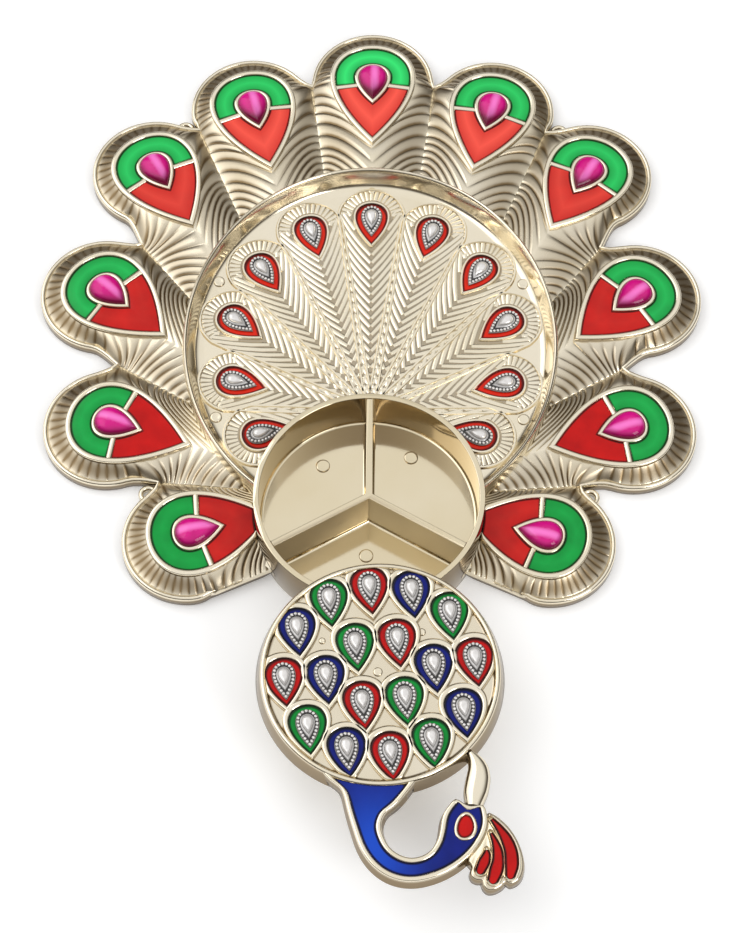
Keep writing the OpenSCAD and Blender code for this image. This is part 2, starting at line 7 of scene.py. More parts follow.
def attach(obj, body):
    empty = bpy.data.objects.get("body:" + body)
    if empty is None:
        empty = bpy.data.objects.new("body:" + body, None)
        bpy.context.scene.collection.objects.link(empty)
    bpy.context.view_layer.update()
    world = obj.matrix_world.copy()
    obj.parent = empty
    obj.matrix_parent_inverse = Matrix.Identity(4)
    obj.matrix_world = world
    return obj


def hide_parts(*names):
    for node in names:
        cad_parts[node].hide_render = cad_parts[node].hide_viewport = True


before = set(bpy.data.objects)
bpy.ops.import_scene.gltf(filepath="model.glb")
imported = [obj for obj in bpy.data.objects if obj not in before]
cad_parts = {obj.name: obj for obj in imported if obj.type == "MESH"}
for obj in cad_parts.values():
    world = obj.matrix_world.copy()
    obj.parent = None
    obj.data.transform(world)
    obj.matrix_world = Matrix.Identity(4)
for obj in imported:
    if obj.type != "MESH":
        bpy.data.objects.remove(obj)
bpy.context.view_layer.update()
mm = 0.001
print("frame loaded")


# Small helpers for colours and nodes
def hexToLinear(code):
    parts = [int(code[i:i + 2], 16) / 255 for i in (1, 3, 5)]
    return [c / 12.92 if c <= 0.04045 else ((c + 0.055) / 1.055) ** 2.4 for c in parts] + [1.0]


def addNode(tree, kind, settings=None, links=None):
    node = tree.nodes.new(kind)
    for key, value in (settings or {}).items():
        if isinstance(key, int) or key in node.inputs:
            node.inputs[key].default_value = value
        else:
            setattr(node, key, value)
    for key, source in (links or {}).items():
        tree.links.new(source, node.inputs[key])
    return node


def newMaterial(name):
    material = bpy.data.materials.new(name)
    material.use_nodes = True
    material.node_tree.nodes.clear()
    return material, material.node_tree


# A cloudy pattern with spots of a size in mm
def noiseOf(tree, sizeMm, detail):
    place = addNode(tree, "ShaderNodeTexCoord")
    noise = addNode(tree, "ShaderNodeTexNoise", {"Scale": 1 / (sizeMm * mm), "Detail": detail},
                    {"Vector": place.outputs["Object"]})
    return noise.outputs["Fac"]


def attributeOf(tree, name):
    return addNode(tree, "ShaderNodeAttribute", {"attribute_name": name}).outputs["Fac"]


# One colour passing into another by a share. Each is a hex code or comes from a node
def blend(tree, share, first, second):
    settings = {"data_type": "RGBA"}
    links = {0: share}
    for socket, colour in ((6, first), (7, second)):
        if isinstance(colour, str):
            settings[socket] = hexToLinear(colour)
        else:
            links[socket] = colour
    return addNode(tree, "ShaderNodeMix", settings, links).outputs[2]


def bumpOf(tree, height, strength, depthMm):
    settings = {"Strength": strength, "Distance": depthMm * mm}
    return addNode(tree, "ShaderNodeBump", settings, {"Height": height}).outputs["Normal"]


def coatWith(tree, settings, links):
    shader = addNode(tree, "ShaderNodeBsdfPrincipled", settings, links)
    addNode(tree, "ShaderNodeOutputMaterial", None, {"Surface": shader.outputs["BSDF"]})


# Helpers that shape meshes
def startFresh():
    if bpy.context.mode != "OBJECT":
        bpy.ops.object.mode_set(mode="OBJECT")
    bpy.ops.object.select_all(action="DESELECT")


def pick(*pieces):
    startFresh()
    for piece in pieces:
        piece.select_set(True)
    bpy.context.view_layer.objects.active = pieces[0]


# A grid primitive whose points are moved to a table of places, in mm
def gridSheet(name, table):
    startFresh()
    bpy.ops.mesh.primitive_grid_add(x_subdivisions=len(table[0]) - 1, y_subdivisions=len(table) - 1, size=mm)
    piece = bpy.context.object
    piece.name = name
    piece.data.vertices.foreach_set("co", [c * mm for row in table for point in row for c in point])
    return piece


# Seams are welded, open ends are filled, and faces turned outwards
def closeUp(piece, gap=0.002):
    pick(piece)
    bpy.ops.object.mode_set(mode="EDIT")
    bpy.ops.mesh.select_all(action="SELECT")
    bpy.ops.mesh.remove_doubles(threshold=gap * mm)
    bpy.ops.mesh.fill_holes(sides=0)
    bpy.ops.mesh.select_all(action="SELECT")
    bpy.ops.mesh.normals_make_consistent(inside=False)
    bpy.ops.object.mode_set(mode="OBJECT")
    return piece


def setTone(piece, values, kind="tone"):
    tone = piece.data.attributes.get(kind) or piece.data.attributes.new(kind, "FLOAT", "POINT")
    tone.data.foreach_set("value", values)


# A closed sheet through a table of places, with the tone and the glow of each
def closedSheet(name, table, tones=None, glows=None, gap=0.002):
    piece = gridSheet(name, table)
    if tones:
        setTone(piece, tones)
    if glows:
        setTone(piece, glows, "glow")
    return closeUp(piece, gap)


def valuesOf(rows):
    return [value for row in rows for value in row]


def polar(radius, angle):
    return radius * math.cos(angle), radius * math.sin(angle)


# The place at a share of the way from one place to another
def between(a, b, share):
    return a[0] + (b[0] - a[0]) * share, a[1] + (b[1] - a[1]) * share


# A torus primitive drawn out into a closed roll between two outlines, with a painted shade along its foot. A
# power below 1 gives it a flatter top
def rollBetween(name, outer, inner, zLow, zTop, sides=10, footTone=0, power=1):
    startFresh()
    bpy.ops.mesh.primitive_torus_add(major_segments=len(outer), minor_segments=sides, major_radius=2 * mm,
                                     minor_radius=mm)
    piece = bpy.context.object
    piece.name = name
    places = []
    tones = []
    for a, b in zip(outer, inner):
        for j in range(sides):
            across, up = [math.copysign(abs(c) ** power, c) for c in
                          (math.cos(2 * math.pi * j / sides), math.sin(2 * math.pi * j / sides))]
            places += [((a[i] + b[i]) / 2 + (a[i] - b[i]) / 2 * across) * mm for i in (0, 1)]
            places.append(((zLow + zTop) / 2 + (zTop - zLow) / 2 * up) * mm)
            tones.append(footTone if up < 0.35 else 0)
    piece.data.vertices.foreach_set("co", places)
    setTone(piece, tones)
    return piece


# A circle primitive moved to an outline, filled and given thickness
def plateFromOutline(name, outline, zLow, zTop):
    startFresh()
    bpy.ops.mesh.primitive_circle_add(vertices=len(outline), radius=mm, fill_type="NGON")
    piece = bpy.context.object
    piece.name = name
    piece.data.vertices.foreach_set("co", [c * mm for x, y in outline for c in (x, y, zTop)])
    bpy.ops.object.mode_set(mode="EDIT")
    bpy.ops.mesh.select_all(action="SELECT")
    bpy.ops.mesh.extrude_region_move(TRANSFORM_OT_translate={"value": (0, 0, (zLow - zTop) * mm)})
    bpy.ops.mesh.select_all(action="SELECT")
    bpy.ops.mesh.normals_make_consistent(inside=False)
    bpy.ops.object.mode_set(mode="OBJECT")
    return piece


# A profile of radius, height and tone turned round an upright axis
def lathe(name, profile, x0, y0, steps):
    table = []
    tones = []
    turns = [2 * math.pi * i / steps for i in range(steps)] + [0]
    for radius, z, *tone in profile:
        table.append([(x0 + radius * math.cos(a), y0 + radius * math.sin(a), z) for a in turns])
        tones += (tone or [0]) * len(turns)
    return closedSheet(name, table, tones)


# Closed outlines one above the other, each with a height and a tone, and flat ends
def stackLoops(name, loops, glows=None):
    table = [[(x, y, z) for x, y in loop + loop[:1]] for loop, z, tone in loops]
    tones = valuesOf([tone] * (len(loop) + 1) for loop, z, tone in loops)
    return closedSheet(name, table, tones, glows)


# A closed outline moved outwards by a distance
def growLoop(loop, distance):
    n = len(loop)
    area = sum(loop[i - 1][0] * loop[i][1] - loop[i][0] * loop[i - 1][1] for i in range(n))
    way = distance if area > 0 else -distance
    grown = []
    for i in range(n):
        a = loop[i - 1]
        b = loop[(i + 1) % n]
        size = max(math.hypot(b[0] - a[0], b[1] - a[1]), 1e-6)
        grown.append((loop[i][0] + (b[1] - a[1]) / size * way, loop[i][1] - (b[0] - a[0]) / size * way))
    return grown


# The place a share of the way from b to c, on a smooth curve through four places
def smoothPlace(a, b, c, d, t):
    return [0.5 * (2 * q + (r - p) * t + (2 * p - 5 * q + 4 * r - s) * t * t
                   + (3 * q - p - 3 * r + s) * t ** 3) for p, q, r, s in zip(a, b, c, d)]


# A smooth closed curve through a ring of places
def smoothLoop(places, steps):
    curve = []
    for i in range(len(places)):
        four = [places[j % len(places)] for j in range(i - 1, i + 3)]
        curve += [tuple(smoothPlace(*four, s / steps)) for s in range(steps)]
    return curve


# Thin raised lines: wires along paths of x, y, z and share of the radius, made a mesh and pressed flatter
def wireLines(name, paths, radius, resolution=0, closed=False, flat=1):
    startFresh()
    curve = bpy.data.curves.new(name, "CURVE")
    curve.dimensions = "3D"
    curve.bevel_depth = radius * mm
    curve.bevel_resolution = resolution
    curve.use_fill_caps = True
    for path in paths:
        spline = curve.splines.new("POLY")
        spline.points.add(len(path) - 1)
        spline.points.foreach_set("co", [c for p in path for c in (p[0] * mm, p[1] * mm, p[2] * mm, 1)])
        spline.points.foreach_set("radius", [p[3] for p in path])
        spline.use_cyclic_u = closed
    piece = bpy.data.objects.new(name, curve)
    bpy.context.collection.objects.link(piece)
    pick(piece)
    bpy.ops.object.convert(target="MESH")
    piece = bpy.context.object
    level = Matrix.Translation((0, 0, paths[0][0][2] * mm))
    piece.data.transform(level @ Matrix.Scale(flat, 4, (0, 0, 1)) @ level.inverted())
    return piece


def joinAs(name, pieces):
    pick(*pieces)
    if len(pieces) > 1:
        bpy.ops.object.join()
    piece = bpy.context.object
    piece.name = name
    piece.data.name = name
    return piece


def copyAt(pattern, name, matrix):
    twin = pattern.copy()
    twin.data = pattern.data.copy()
    twin.name = name
    twin.data.transform(matrix)
    bpy.context.collection.objects.link(twin)
    return twin


def finishPiece(piece, body, slot, material, *nodes, angle=40):
    piece.data.materials.clear()
    piece.data.materials.append(material)
    pick(piece)
    bpy.ops.object.shade_smooth_by_angle(angle=math.radians(angle))
    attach(piece, body)
    if nodes:
        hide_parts(*nodes)
    return piece


# Materials
goldLook = {"pale": "#F5EDDC", "warm": "#E6D9BB", "paintedShade": "#664D22", "cloudMm": 16, "peelMm": 0.9,
            "smooth": 0.13, "dull": 0.21, "satin": 0.3, "peel": 0.02, "peelDeepMm": 0.1}
bowlLook = {"pale": "#EADFC6", "warm": "#DCCCA8", "paintedShade": "#553A0E", "cloudMm": 20, "peelMm": 1.1,
            "smooth": 0.07, "dull": 0.12, "satin": 0.42, "peel": 0.02, "peelDeepMm": 0.1}


# Champagne gold, vacuum-metallised on moulded ABS: a bright pale skin with a faint orange peel from the
# mould, and a brown painted shade in grooves, on slopes and on walls, for shade and dark reflections
def metallisedGold(name, look):
    material, tree = newMaterial(name)
    cloud = noiseOf(tree, look["cloudMm"], 3)
    skin = blend(tree, cloud, look["pale"], look["warm"])
    # Painted shade: the tone attribute darkens the skin towards brown, for shade and dark reflections
    colour = blend(tree, attributeOf(tree, "tone"), skin, look["paintedShade"])
    rough = addNode(tree, "ShaderNodeMapRange", {"From Min": 0.3, "From Max": 0.7, "To Min": look["smooth"],
                                                 "To Max": look["dull"]}, {"Value": cloud})
    worn = addNode(tree, "ShaderNodeMath", {"operation": "MULTIPLY_ADD", 1: look["satin"]},
                   {0: attributeOf(tree, "glow"), 2: rough.outputs["Result"]})
    peel = bumpOf(tree, noiseOf(tree, look["peelMm"], 2), look["peel"], look["peelDeepMm"])
    coatWith(tree, {"Metallic": 1.0},
             {"Base Color": colour, "Roughness": worn.outputs["Value"], "Normal": peel})
    return material


# Nitrocellulose lacquer flooded into a cast cell: wet gloss, a little cloudy, with a painted highlight where
# the glow attribute is set and a painted shadow, almost black, along the wall
lacquerLook = {"bend": 1.5, "shine": 0.17, "wave": 0.12, "waveDeepMm": 0.15}
greenLook = {"bright": "#0CA340", "deep": "#067029", "glow": "#35E876", "wall": "#020A05", "cloudMm": 5,
             "rough": 0.1}
redLook = {"bright": "#D81612", "deep": "#A3090C", "glow": "#FF5C4C", "wall": "#140202", "cloudMm": 5,
           "rough": 0.1}
trayRedLook = {"bright": "#EA3018", "deep": "#CE1C0C", "glow": "#FF6A4A", "wall": "#2A0603", "cloudMm": 4,
               "rough": 0.14}
blueLook = {"bright": "#14228A", "deep": "#0A1458", "glow": "#1C55D8", "wall": "#02040F", "cloudMm": 5,
            "rough": 0.08}


def floodedLacquer(name, look):
    material, tree = newMaterial(name)
    cloud = noiseOf(tree, look["cloudMm"], 2)
    body = blend(tree, cloud, look["bright"], look["deep"])
    # Painted highlight by the glow attribute, painted shadow along the wall by the tone attribute
    lit = blend(tree, attributeOf(tree, "glow"), body, look["glow"])
    colour = blend(tree, attributeOf(tree, "tone"), lit, look["wall"])
    wave = bumpOf(tree, cloud, lacquerLook["wave"], lacquerLook["waveDeepMm"])
    coatWith(tree, {"Roughness": look["rough"], "IOR": lacquerLook["bend"],
                    "Specular IOR Level": lacquerLook["shine"]}, {"Base Color": colour, "Normal": wave})
    return material


# Cast acrylic cabochon on bright foil: a pink body with a painted highlight streaked along it and a painted
# shade that sinks to maroon at the girdle
gemLook = {"top": "#EE1296", "girdle": "#6C0634", "swirl": "#C80C78", "streak": "#FF7CD2", "swirlMm": 3.2,
           "rough": 0.08, "bend": 1.49, "shine": 0.35}


def foiledAcrylic(name, look):
    material, tree = newMaterial(name)
    body = blend(tree, noiseOf(tree, look["swirlMm"], 1), look["top"], look["swirl"])
    # Painted highlight by the glow attribute, painted shade towards the girdle by the tone attribute
    lit = blend(tree, attributeOf(tree, "glow"), body, look["streak"])
    colour = blend(tree, attributeOf(tree, "tone"), lit, look["girdle"])
    coatWith(tree, {"Roughness": look["rough"], "IOR": look["bend"], "Specular IOR Level": look["shine"]},
             {"Base Color": colour})
    return material


# Pressed silver foil under a thin acrylic skin: white beads and centre, nearly black between them
stoneLook = {"silver": "#FCFAF8", "grey": "#CFCBC8", "shadow": "#17130F", "grainMm": 1.2, "metal": 0.35,
             "rough": 0.18, "shine": 0.8}


def silverFoil(name, look):
    material, tree = newMaterial(name)
    foil = blend(tree, noiseOf(tree, look["grainMm"], 2), look["silver"], look["grey"])
    colour = blend(tree, attributeOf(tree, "tone"), foil, look["shadow"])
    coatWith(tree, {"Metallic": look["metal"], "Roughness": look["rough"],
                    "Specular IOR Level": look["shine"]}, {"Base Color": colour})
    return material


# Zinc-plated steel of the pivot screw: grey, with fine turning marks
steelLook = {"light": "#B9BCC0", "dark": "#8C9096", "turnMm": 0.25, "smooth": 0.25, "dull": 0.45}


def platedSteel(name, look):
    material, tree = newMaterial(name)
    marks = noiseOf(tree, look["turnMm"], 2)
    colour = blend(tree, marks, look["light"], look["dark"])
    rough = addNode(tree, "ShaderNodeMapRange", {"To Min": look["smooth"], "To Max": look["dull"]},
                    {"Value": marks})
    coatWith(tree, {"Metallic": 1.0}, {"Base Color": colour, "Roughness": rough.outputs["Result"]})
    return material


plateGold = metallisedGold("metallisedGold", goldLook)
bowlGold = metallisedGold("metallisedBowlGold", bowlLook)
greenLacquer = floodedLacquer("greenLacquer", greenLook)
redLacquer = floodedLacquer("redLacquer", redLook)
trayLacquer = floodedLacquer("trayRedLacquer", trayRedLook)
blueLacquer = floodedLacquer("blueLacquer", blueLook)
pinkAcrylic = foiledAcrylic("pinkFoiledAcrylic", gemLook)
stoneFoil = silverFoil("silverFoilStone", stoneLook)
screwSteel = platedSteel("zincPlatedSteel", steelLook)
print("materials made")


# Layout of the tail, shared by its pieces. Sizes in mm, angles in degrees from the middle line
tail = {"hubY": 4, "turns": [0, 15.3, 30.6, 49.2, 72.9, 104], "beyond": [31.5, 30.8, 32.3, 27.5, 27.5, 24],
        "notchBeyond": [4.6, 5, -3.9, -2.1, -1.6], "ovalX": 47.2, "ovalY": 52.2, "ovalMid": 46.3,
        "lobe": 16.4, "lobeShift": 0.6, "notchBlend": 11, "valleyInside": 1.2, "freeEdge": (15.6, -1.5),
        "freeFoot": (11, -2), "wallInside": 0.9, "bowlClear": 28.05, "petals": 11, "top": 6}


# The angle of petal or feather k in a table that starts at the middle line
def turnIn(turns, k):
    step = abs(k - tail["top"])
    return turns[step] if k > tail["top"] else -turns[step]


# A place at a distance from a hub along an angle, and x to the right of that line
def fromHub(hubY, turn, r, x=0):
    a = math.radians(turn)
    return r * math.sin(a) + x * math.cos(a), hubY + r * math.cos(a) - x * math.sin(a)


def reachOval(fromY, turn, halfX, halfY):
    ux = math.sin(math.radians(turn))
    uy = math.cos(math.radians(turn))
    dy = fromY - tail["ovalMid"]
    qa = (ux / halfX) ** 2 + (uy / halfY) ** 2
    qb = uy * dy / halfY ** 2
    qc = (dy / halfY) ** 2 - 1
    return (-qb + math.sqrt(qb * qb - qa * qc)) / qa


def petalTurn(k):
    return turnIn(tail["turns"], k)


def rimReach(k):
    return reachOval(tail["hubY"], petalTurn(k), tail["ovalX"], tail["ovalY"])


def petalReach(k):
    return rimReach(k) + tail["beyond"][abs(k - tail["top"])]


def onPetal(k, x, y):
    return fromHub(tail["hubY"], petalTurn(k), petalReach(k) + y, x)


def toPetal(k, x, y):
    a = math.radians(petalTurn(k))
    along = x * math.sin(a) + (y - tail["hubY"]) * math.cos(a)
    return x * math.cos(a) - (y - tail["hubY"]) * math.sin(a), along - petalReach(k)


# The notch between petal k and the next, and the place where its valley meets the rim
def notchAt(k):
    a = onPetal(k, 0, 0)
    b = onPetal(k + 1, 0, 0)
    step = max(abs(k - tail["top"]), abs(k + 1 - tail["top"])) - 1
    vx = (a[0] + b[0]) / 2
    vy = (a[1] + b[1]) / 2 - tail["hubY"]
    size = math.hypot(vx, vy)
    far = size + tail["notchBeyond"][step]
    return vx / size * far, tail["hubY"] + vy / size * far


def valleyFoot(k):
    x, y = notchAt(k)
    turn = math.degrees(math.atan2(x, y - tail["hubY"]))
    reach = reachOval(tail["hubY"], turn, tail["ovalX"], tail["ovalY"])
    return fromHub(tail["hubY"], turn, reach - tail["valleyInside"])


# Nothing of the plate stands inside the bowl, or further into the tray than the rim's wall
def clearOfBowl(x, y):
    r = math.hypot(x, y)
    if r >= tail["bowlClear"]:
        return x, y
    return x * tail["bowlClear"] / max(r, 0.01), y * tail["bowlClear"] / max(r, 0.01)


def clearOfTray(x, y):
    dy = y - tail["ovalMid"]
    share = math.hypot(x / (tail["ovalX"] - tail["wallInside"]), dy / (tail["ovalY"] - tail["wallInside"]))
    if share >= 1:
        return x, y
    return x / max(share, 0.01), tail["ovalMid"] + dy / max(share, 0.01)


# An outline closed along the bowl's wall
def alongBowl(outline, steps):
    first = math.atan2(outline[-1][1], outline[-1][0]) % (2 * math.pi)
    last = math.atan2(outline[0][1], outline[0][0])
    turns = [first + (last - first) * i / (steps - 1) for i in range(steps)]
    return outline + [polar(tail["bowlClear"], a) for a in turns]


# A drop, round towards +Y and pointed towards -Y, with its widest place at the origin, a sixth of its length
# from the middle. The two sines together reach 0.77 there, half of 1.54
def dropAt(length, width, t):
    return width / 1.54 * math.sin(t) * math.sin(t / 2), -length / 2 * math.cos(t) - length / 6


def dropOutline(length, width, count, shift=0):
    points = [dropAt(length, width, 2 * math.pi * i / count) for i in range(count)]
    return [(x, y + shift) for x, y in points]


def lineLengths(points):
    total = [0]
    for a, b in zip(points, points[1:]):
        total.append(total[-1] + math.hypot(b[0] - a[0], b[1] - a[1]))
    return total


def alongLine(points, total, share):
    want = min(max(share, 0), 1) * total[-1]
    for i in range(len(points) - 1):
        if total[i + 1] >= want:
            part = (want - total[i]) / max(total[i + 1] - total[i], 1e-9)
            return between(points[i], points[i + 1], part)
    return points[-1]


def evenly(points, count):
    total = lineLengths(points)
    return [alongLine(points, total, i / (count - 1)) for i in range(count)]


# The two ends of a petal's free outline as seen from it: notch or free side, right first
def petalSides(k):
    sides = []
    for neighbour, way in ((k, 1), (k - 1, -1)):
        if 1 <= neighbour < tail["petals"]:
            sides.append((toPetal(k, *notchAt(neighbour)), toPetal(k, *valleyFoot(neighbour))))
        else:
            root = rimReach(k) - petalReach(k)
            sides.append(((way * tail["freeEdge"][0], tail["freeEdge"][1]),
                          (way * tail["freeFoot"][0], root + tail["freeFoot"][1])))
    return sides


# Points round the lobe between its two sides, drawn in by a distance
def lobeArc(k, inset, count):
    (right, rightFoot), (left, leftFoot) = petalSides(k)
    ends = []
    for notch, foot in ((right, rightFoot), (left, leftFoot)):
        size = math.hypot(foot[0] - notch[0], foot[1] - notch[1])
        ends.append((notch[0] + (foot[0] - notch[0]) / size * inset,
                     notch[1] + (foot[1] - notch[1]) / size * inset))
    cy = tail["lobeShift"]
    first = math.atan2(ends[0][1] - cy, ends[0][0])
    last = math.atan2(ends[1][1] - cy, ends[1][0]) % (2 * math.pi)
    points = []
    for i in range(count):
        share = i / (count - 1)
        a = first + (last - first) * share
        radius = tail["lobe"] - inset
        for end, near in ((ends[0], share), (ends[1], 1 - share)):
            far = math.hypot(end[0], end[1] - cy)
            radius += (far - tail["lobe"] + inset) * max(0, 1 - near * tail["notchBlend"]) ** 2
        points.append((radius * math.cos(a), cy + radius * math.sin(a)))
    return points


# The plain plate under the relief: lobes with a rounded lip, hollow below. The section has inset, height and
# a painted shade, dark on the walls and under the lip
tailBase = {"lobeSteps": 46, "sideSteps": 10, "socketSteps": 70,
            "section": [(1.7, 1.5, 0), (1.4, 0.15, 0), (1.2, 0, 0.7), (0.3, 0, 0.84), (0, 0.3, 0.84),
                        (0, 2.1, 0.8), (0.08, 2.65, 0), (0.28, 3, 0), (0.55, 3.18, 0), (0.8, 3.2, 0),
                        (1.05, 3.08, 0), (1.28, 2.8, 0.3), (1.45, 2.4, 0.6), (1.7, 2.25, 0.5)]}


def makeTailBase():
    outline = []
    for k in range(tail["petals"], 0, -1):
        (right, rightFoot), (left, leftFoot) = petalSides(k)
        if k == tail["petals"]:
            line = [onPetal(k, *p) for p in evenly([rightFoot, right], tailBase["sideSteps"])]
            outline += [p for p in line[:-1] if math.hypot(*p) > tail["bowlClear"]]
        outline += [onPetal(k, *p) for p in lobeArc(k, 0, tailBase["lobeSteps"])][:-1]
        if k == 1:
            line = [onPetal(k, *p) for p in evenly([left, leftFoot], tailBase["sideSteps"])]
            outline += [p for p in line if math.hypot(*p) > tail["bowlClear"]]
    outline = alongBowl(outline, tailBase["socketSteps"])
    loops = []
    for inset, z, tone in tailBase["section"]:
        loops.append(([clearOfBowl(*p) for p in growLoop(outline, -inset)], z, tone))
    return stackLoops("tailBase", loops)


# The eye of a petal: a border roll, the cell inside it, a gem in its collar and a bar at either side
petal = {"eyeLong": 32.4, "eyeWide": 23, "insideLong": 28.8, "insideWide": 20, "insideShift": -0.2,
         "gemLong": 10.9, "gemWide": 7.6, "collar": 1.1, "rollTop": 6.6, "barY": -1.9, "barDroop": 0.15}


# One petal's relief: flutes round the lobe that turn into barbs along the spine. The columns of the sheet
# are the flutes, several to each, and its rows run from the eye's border or the spine to the lip or valley.
# The barbs of a flank start in three parts, along the rim, the spine and the eye's border. Both flanks share
# them out alike, so that their places on the spine meet
relief = {"barbs": 12, "flutes": 23, "inset": 1.35, "arcSteps": 240, "underRoll": 1.6, "spineInside": 1.4,
          "steps": [0, 0.07, 0.18, 0.36, 0.64, 0.82, 0.93],
          "rows": [0, 0.05, 0.13, 0.23, 0.34, 0.46, 0.58, 0.7, 0.8, 0.89, 0.95, 1],
          "shares": [0, 0.48, 0.7, 1], "rise": [0.78, 0.6], "valleyFrom": 38, "valleyTo": 84, "rimMost": 0.64,
          "tipLead": 0.15, "borderZ": 5.45, "spineZ": 5.75, "floorZ": 5.2, "lipZ": 2.75, "valleyZ": 3.6,
          "lowZ": 2, "tuck": 0.35, "fluteHigh": 0.08, "barbHigh": 0.34, "waveMid": 0.6, "groovePower": 9,
          "sideSpan": 7, "bend": [0.5, 0.12, 0.52], "slope": [0.85, 0.75], "swell": [0.12, 0.8],
          "fade": [0.08, 0.2], "grooveTone": 0.6, "slopeTone": 0.72, "barbTone": 0.4, "toneLean": 0.6,
          "toneMost": 0.9, "satin": 0.6}


# Where the line from the lobe's middle at an angle meets the eye's border
def borderAt(border, angle):
    for a, b in zip(border, border[1:]):
        before = math.atan2(a[1] - tail["lobeShift"], a[0])
        after = math.atan2(b[1] - tail["lobeShift"], b[0])
        if before <= angle <= after:
            return between(a, b, (angle - before) / max(after - before, 1e-9))
    return border[-1]


# The share of a valley's length at which a barb from a place on the spine reaches it, at a slope
def valleyShare(foot, edge, fromY, slope):
    for i in range(relief["valleyFrom"], relief["valleyTo"]):
        x, y = between(foot, edge, i / 100)
        if y - fromY >= slope * abs(x):
            return i / 100
    return relief["valleyTo"] / 100


# Both flanks, right first: the side, the valley's foot and edge, the three lines where barbs start, and the
# shares of the valley where those of each line end
def petalFlanks(k, arc, angles, border):
    spineEnd = rimReach(k) - petalReach(k) - relief["spineInside"]
    flanks = []
    for way, (notch, foot), edge, angle in zip((1, -1), petalSides(k), (arc[0], arc[-1]),
                                               (angles[0], math.pi - angles[-1])):
        leave = borderAt(border, angle)
        low = [p for p in border if p[1] < leave[1]] + [leave]
        atRim = min(valleyShare(foot, edge, spineEnd, relief["rise"][0]), relief["rimMost"])
        atTip = max(valleyShare(foot, edge, low[0][1], relief["rise"][1]), atRim + relief["tipLead"])
        starts = [[(abs(foot[0]), foot[1]), (0, spineEnd)], [(0, spineEnd), low[0]], low]
        flanks.append((way, foot, edge, starts, [0, atRim, atTip, 1]))
    return flanks


# A column's start and end with their heights, its part, and how far it lies onto the flank
def fluteColumn(turn, arc, angles, border):
    share = (turn - relief["barbs"]) / relief["flutes"]
    angle = angles[0] + (angles[-1] - angles[0]) * share
    onRight = angle <= math.pi / 2
    x, y = borderAt(border, angle if onRight else math.pi - angle)
    end = arc[round(share * relief["arcSteps"])]
    ontoSide = max(0, 1 - min(share, 1 - share) * relief["sideSpan"])
    return (x if onRight else -x, y), end, relief["borderZ"], relief["lipZ"], 2, ontoSide


def barbColumn(turn, flank):
    way, foot, edge, starts, ends = flank
    shares = relief["shares"]
    share = turn / relief["barbs"]
    part = max(i for i in range(3) if share >= shares[i])
    along = (share - shares[part]) / (shares[part + 1] - shares[part])
    reach = ends[part] + (ends[part + 1] - ends[part]) * along
    x, y = alongLine(starts[part], lineLengths(starts[part]), along)
    inZ = relief["borderZ"]
    if part == 0:
        inZ = relief["valleyZ"] + (relief["spineZ"] - relief["valleyZ"]) * along
    elif part == 1:
        inZ = relief["spineZ"] + (relief["borderZ"] - relief["spineZ"]) * max(0, along * 2 - 1)
    outZ = relief["lipZ"] + (relief["valleyZ"] - relief["lipZ"]) * (1 - reach)
    return (way * x, y), between(foot, edge, reach), inZ, outZ, part, 1.0


# The places of a column, with one more at each end that is tucked away under the roll and the lip
def columnPlaces(start, end, inZ, outZ, part, ontoSide, wave):
    lean = [relief["bend"][0] + more * ontoSide for more in relief["bend"][1:]]
    bend = [start[i] + (end[i] - start[i]) * lean[i] for i in (0, 1)]
    power = relief["slope"][0] + relief["slope"][1] * ontoSide
    high = relief["fluteHigh"] + (relief["barbHigh"] - relief["fluteHigh"]) * ontoSide
    points = []
    for v in relief["rows"]:
        x, y = [(1 - v) ** 2 * start[i] + 2 * v * (1 - v) * bend[i] + v * v * end[i] for i in (0, 1)]
        swell = math.sin(math.pi * min(relief["swell"][0] + v * relief["swell"][1], 1)) ** 0.5
        if part == 2:
            swell *= min(1, max(0, (v - relief["fade"][0]) / relief["fade"][1]))
        points.append((x, y, inZ + (outZ - inZ) * v ** power + high * (wave - relief["waveMid"]) * swell))
    if part < 2:
        points[0] = (*start, inZ)
    first = (*start, inZ if part < 2 else relief["floorZ"])
    out = relief["tuck"] / max(math.hypot(end[0] - start[0], end[1] - start[1]), 0.01)
    last = (end[0] + (end[0] - start[0]) * out, end[1] + (end[1] - start[1]) * out, relief["lowZ"])
    return [first] + points + [last]


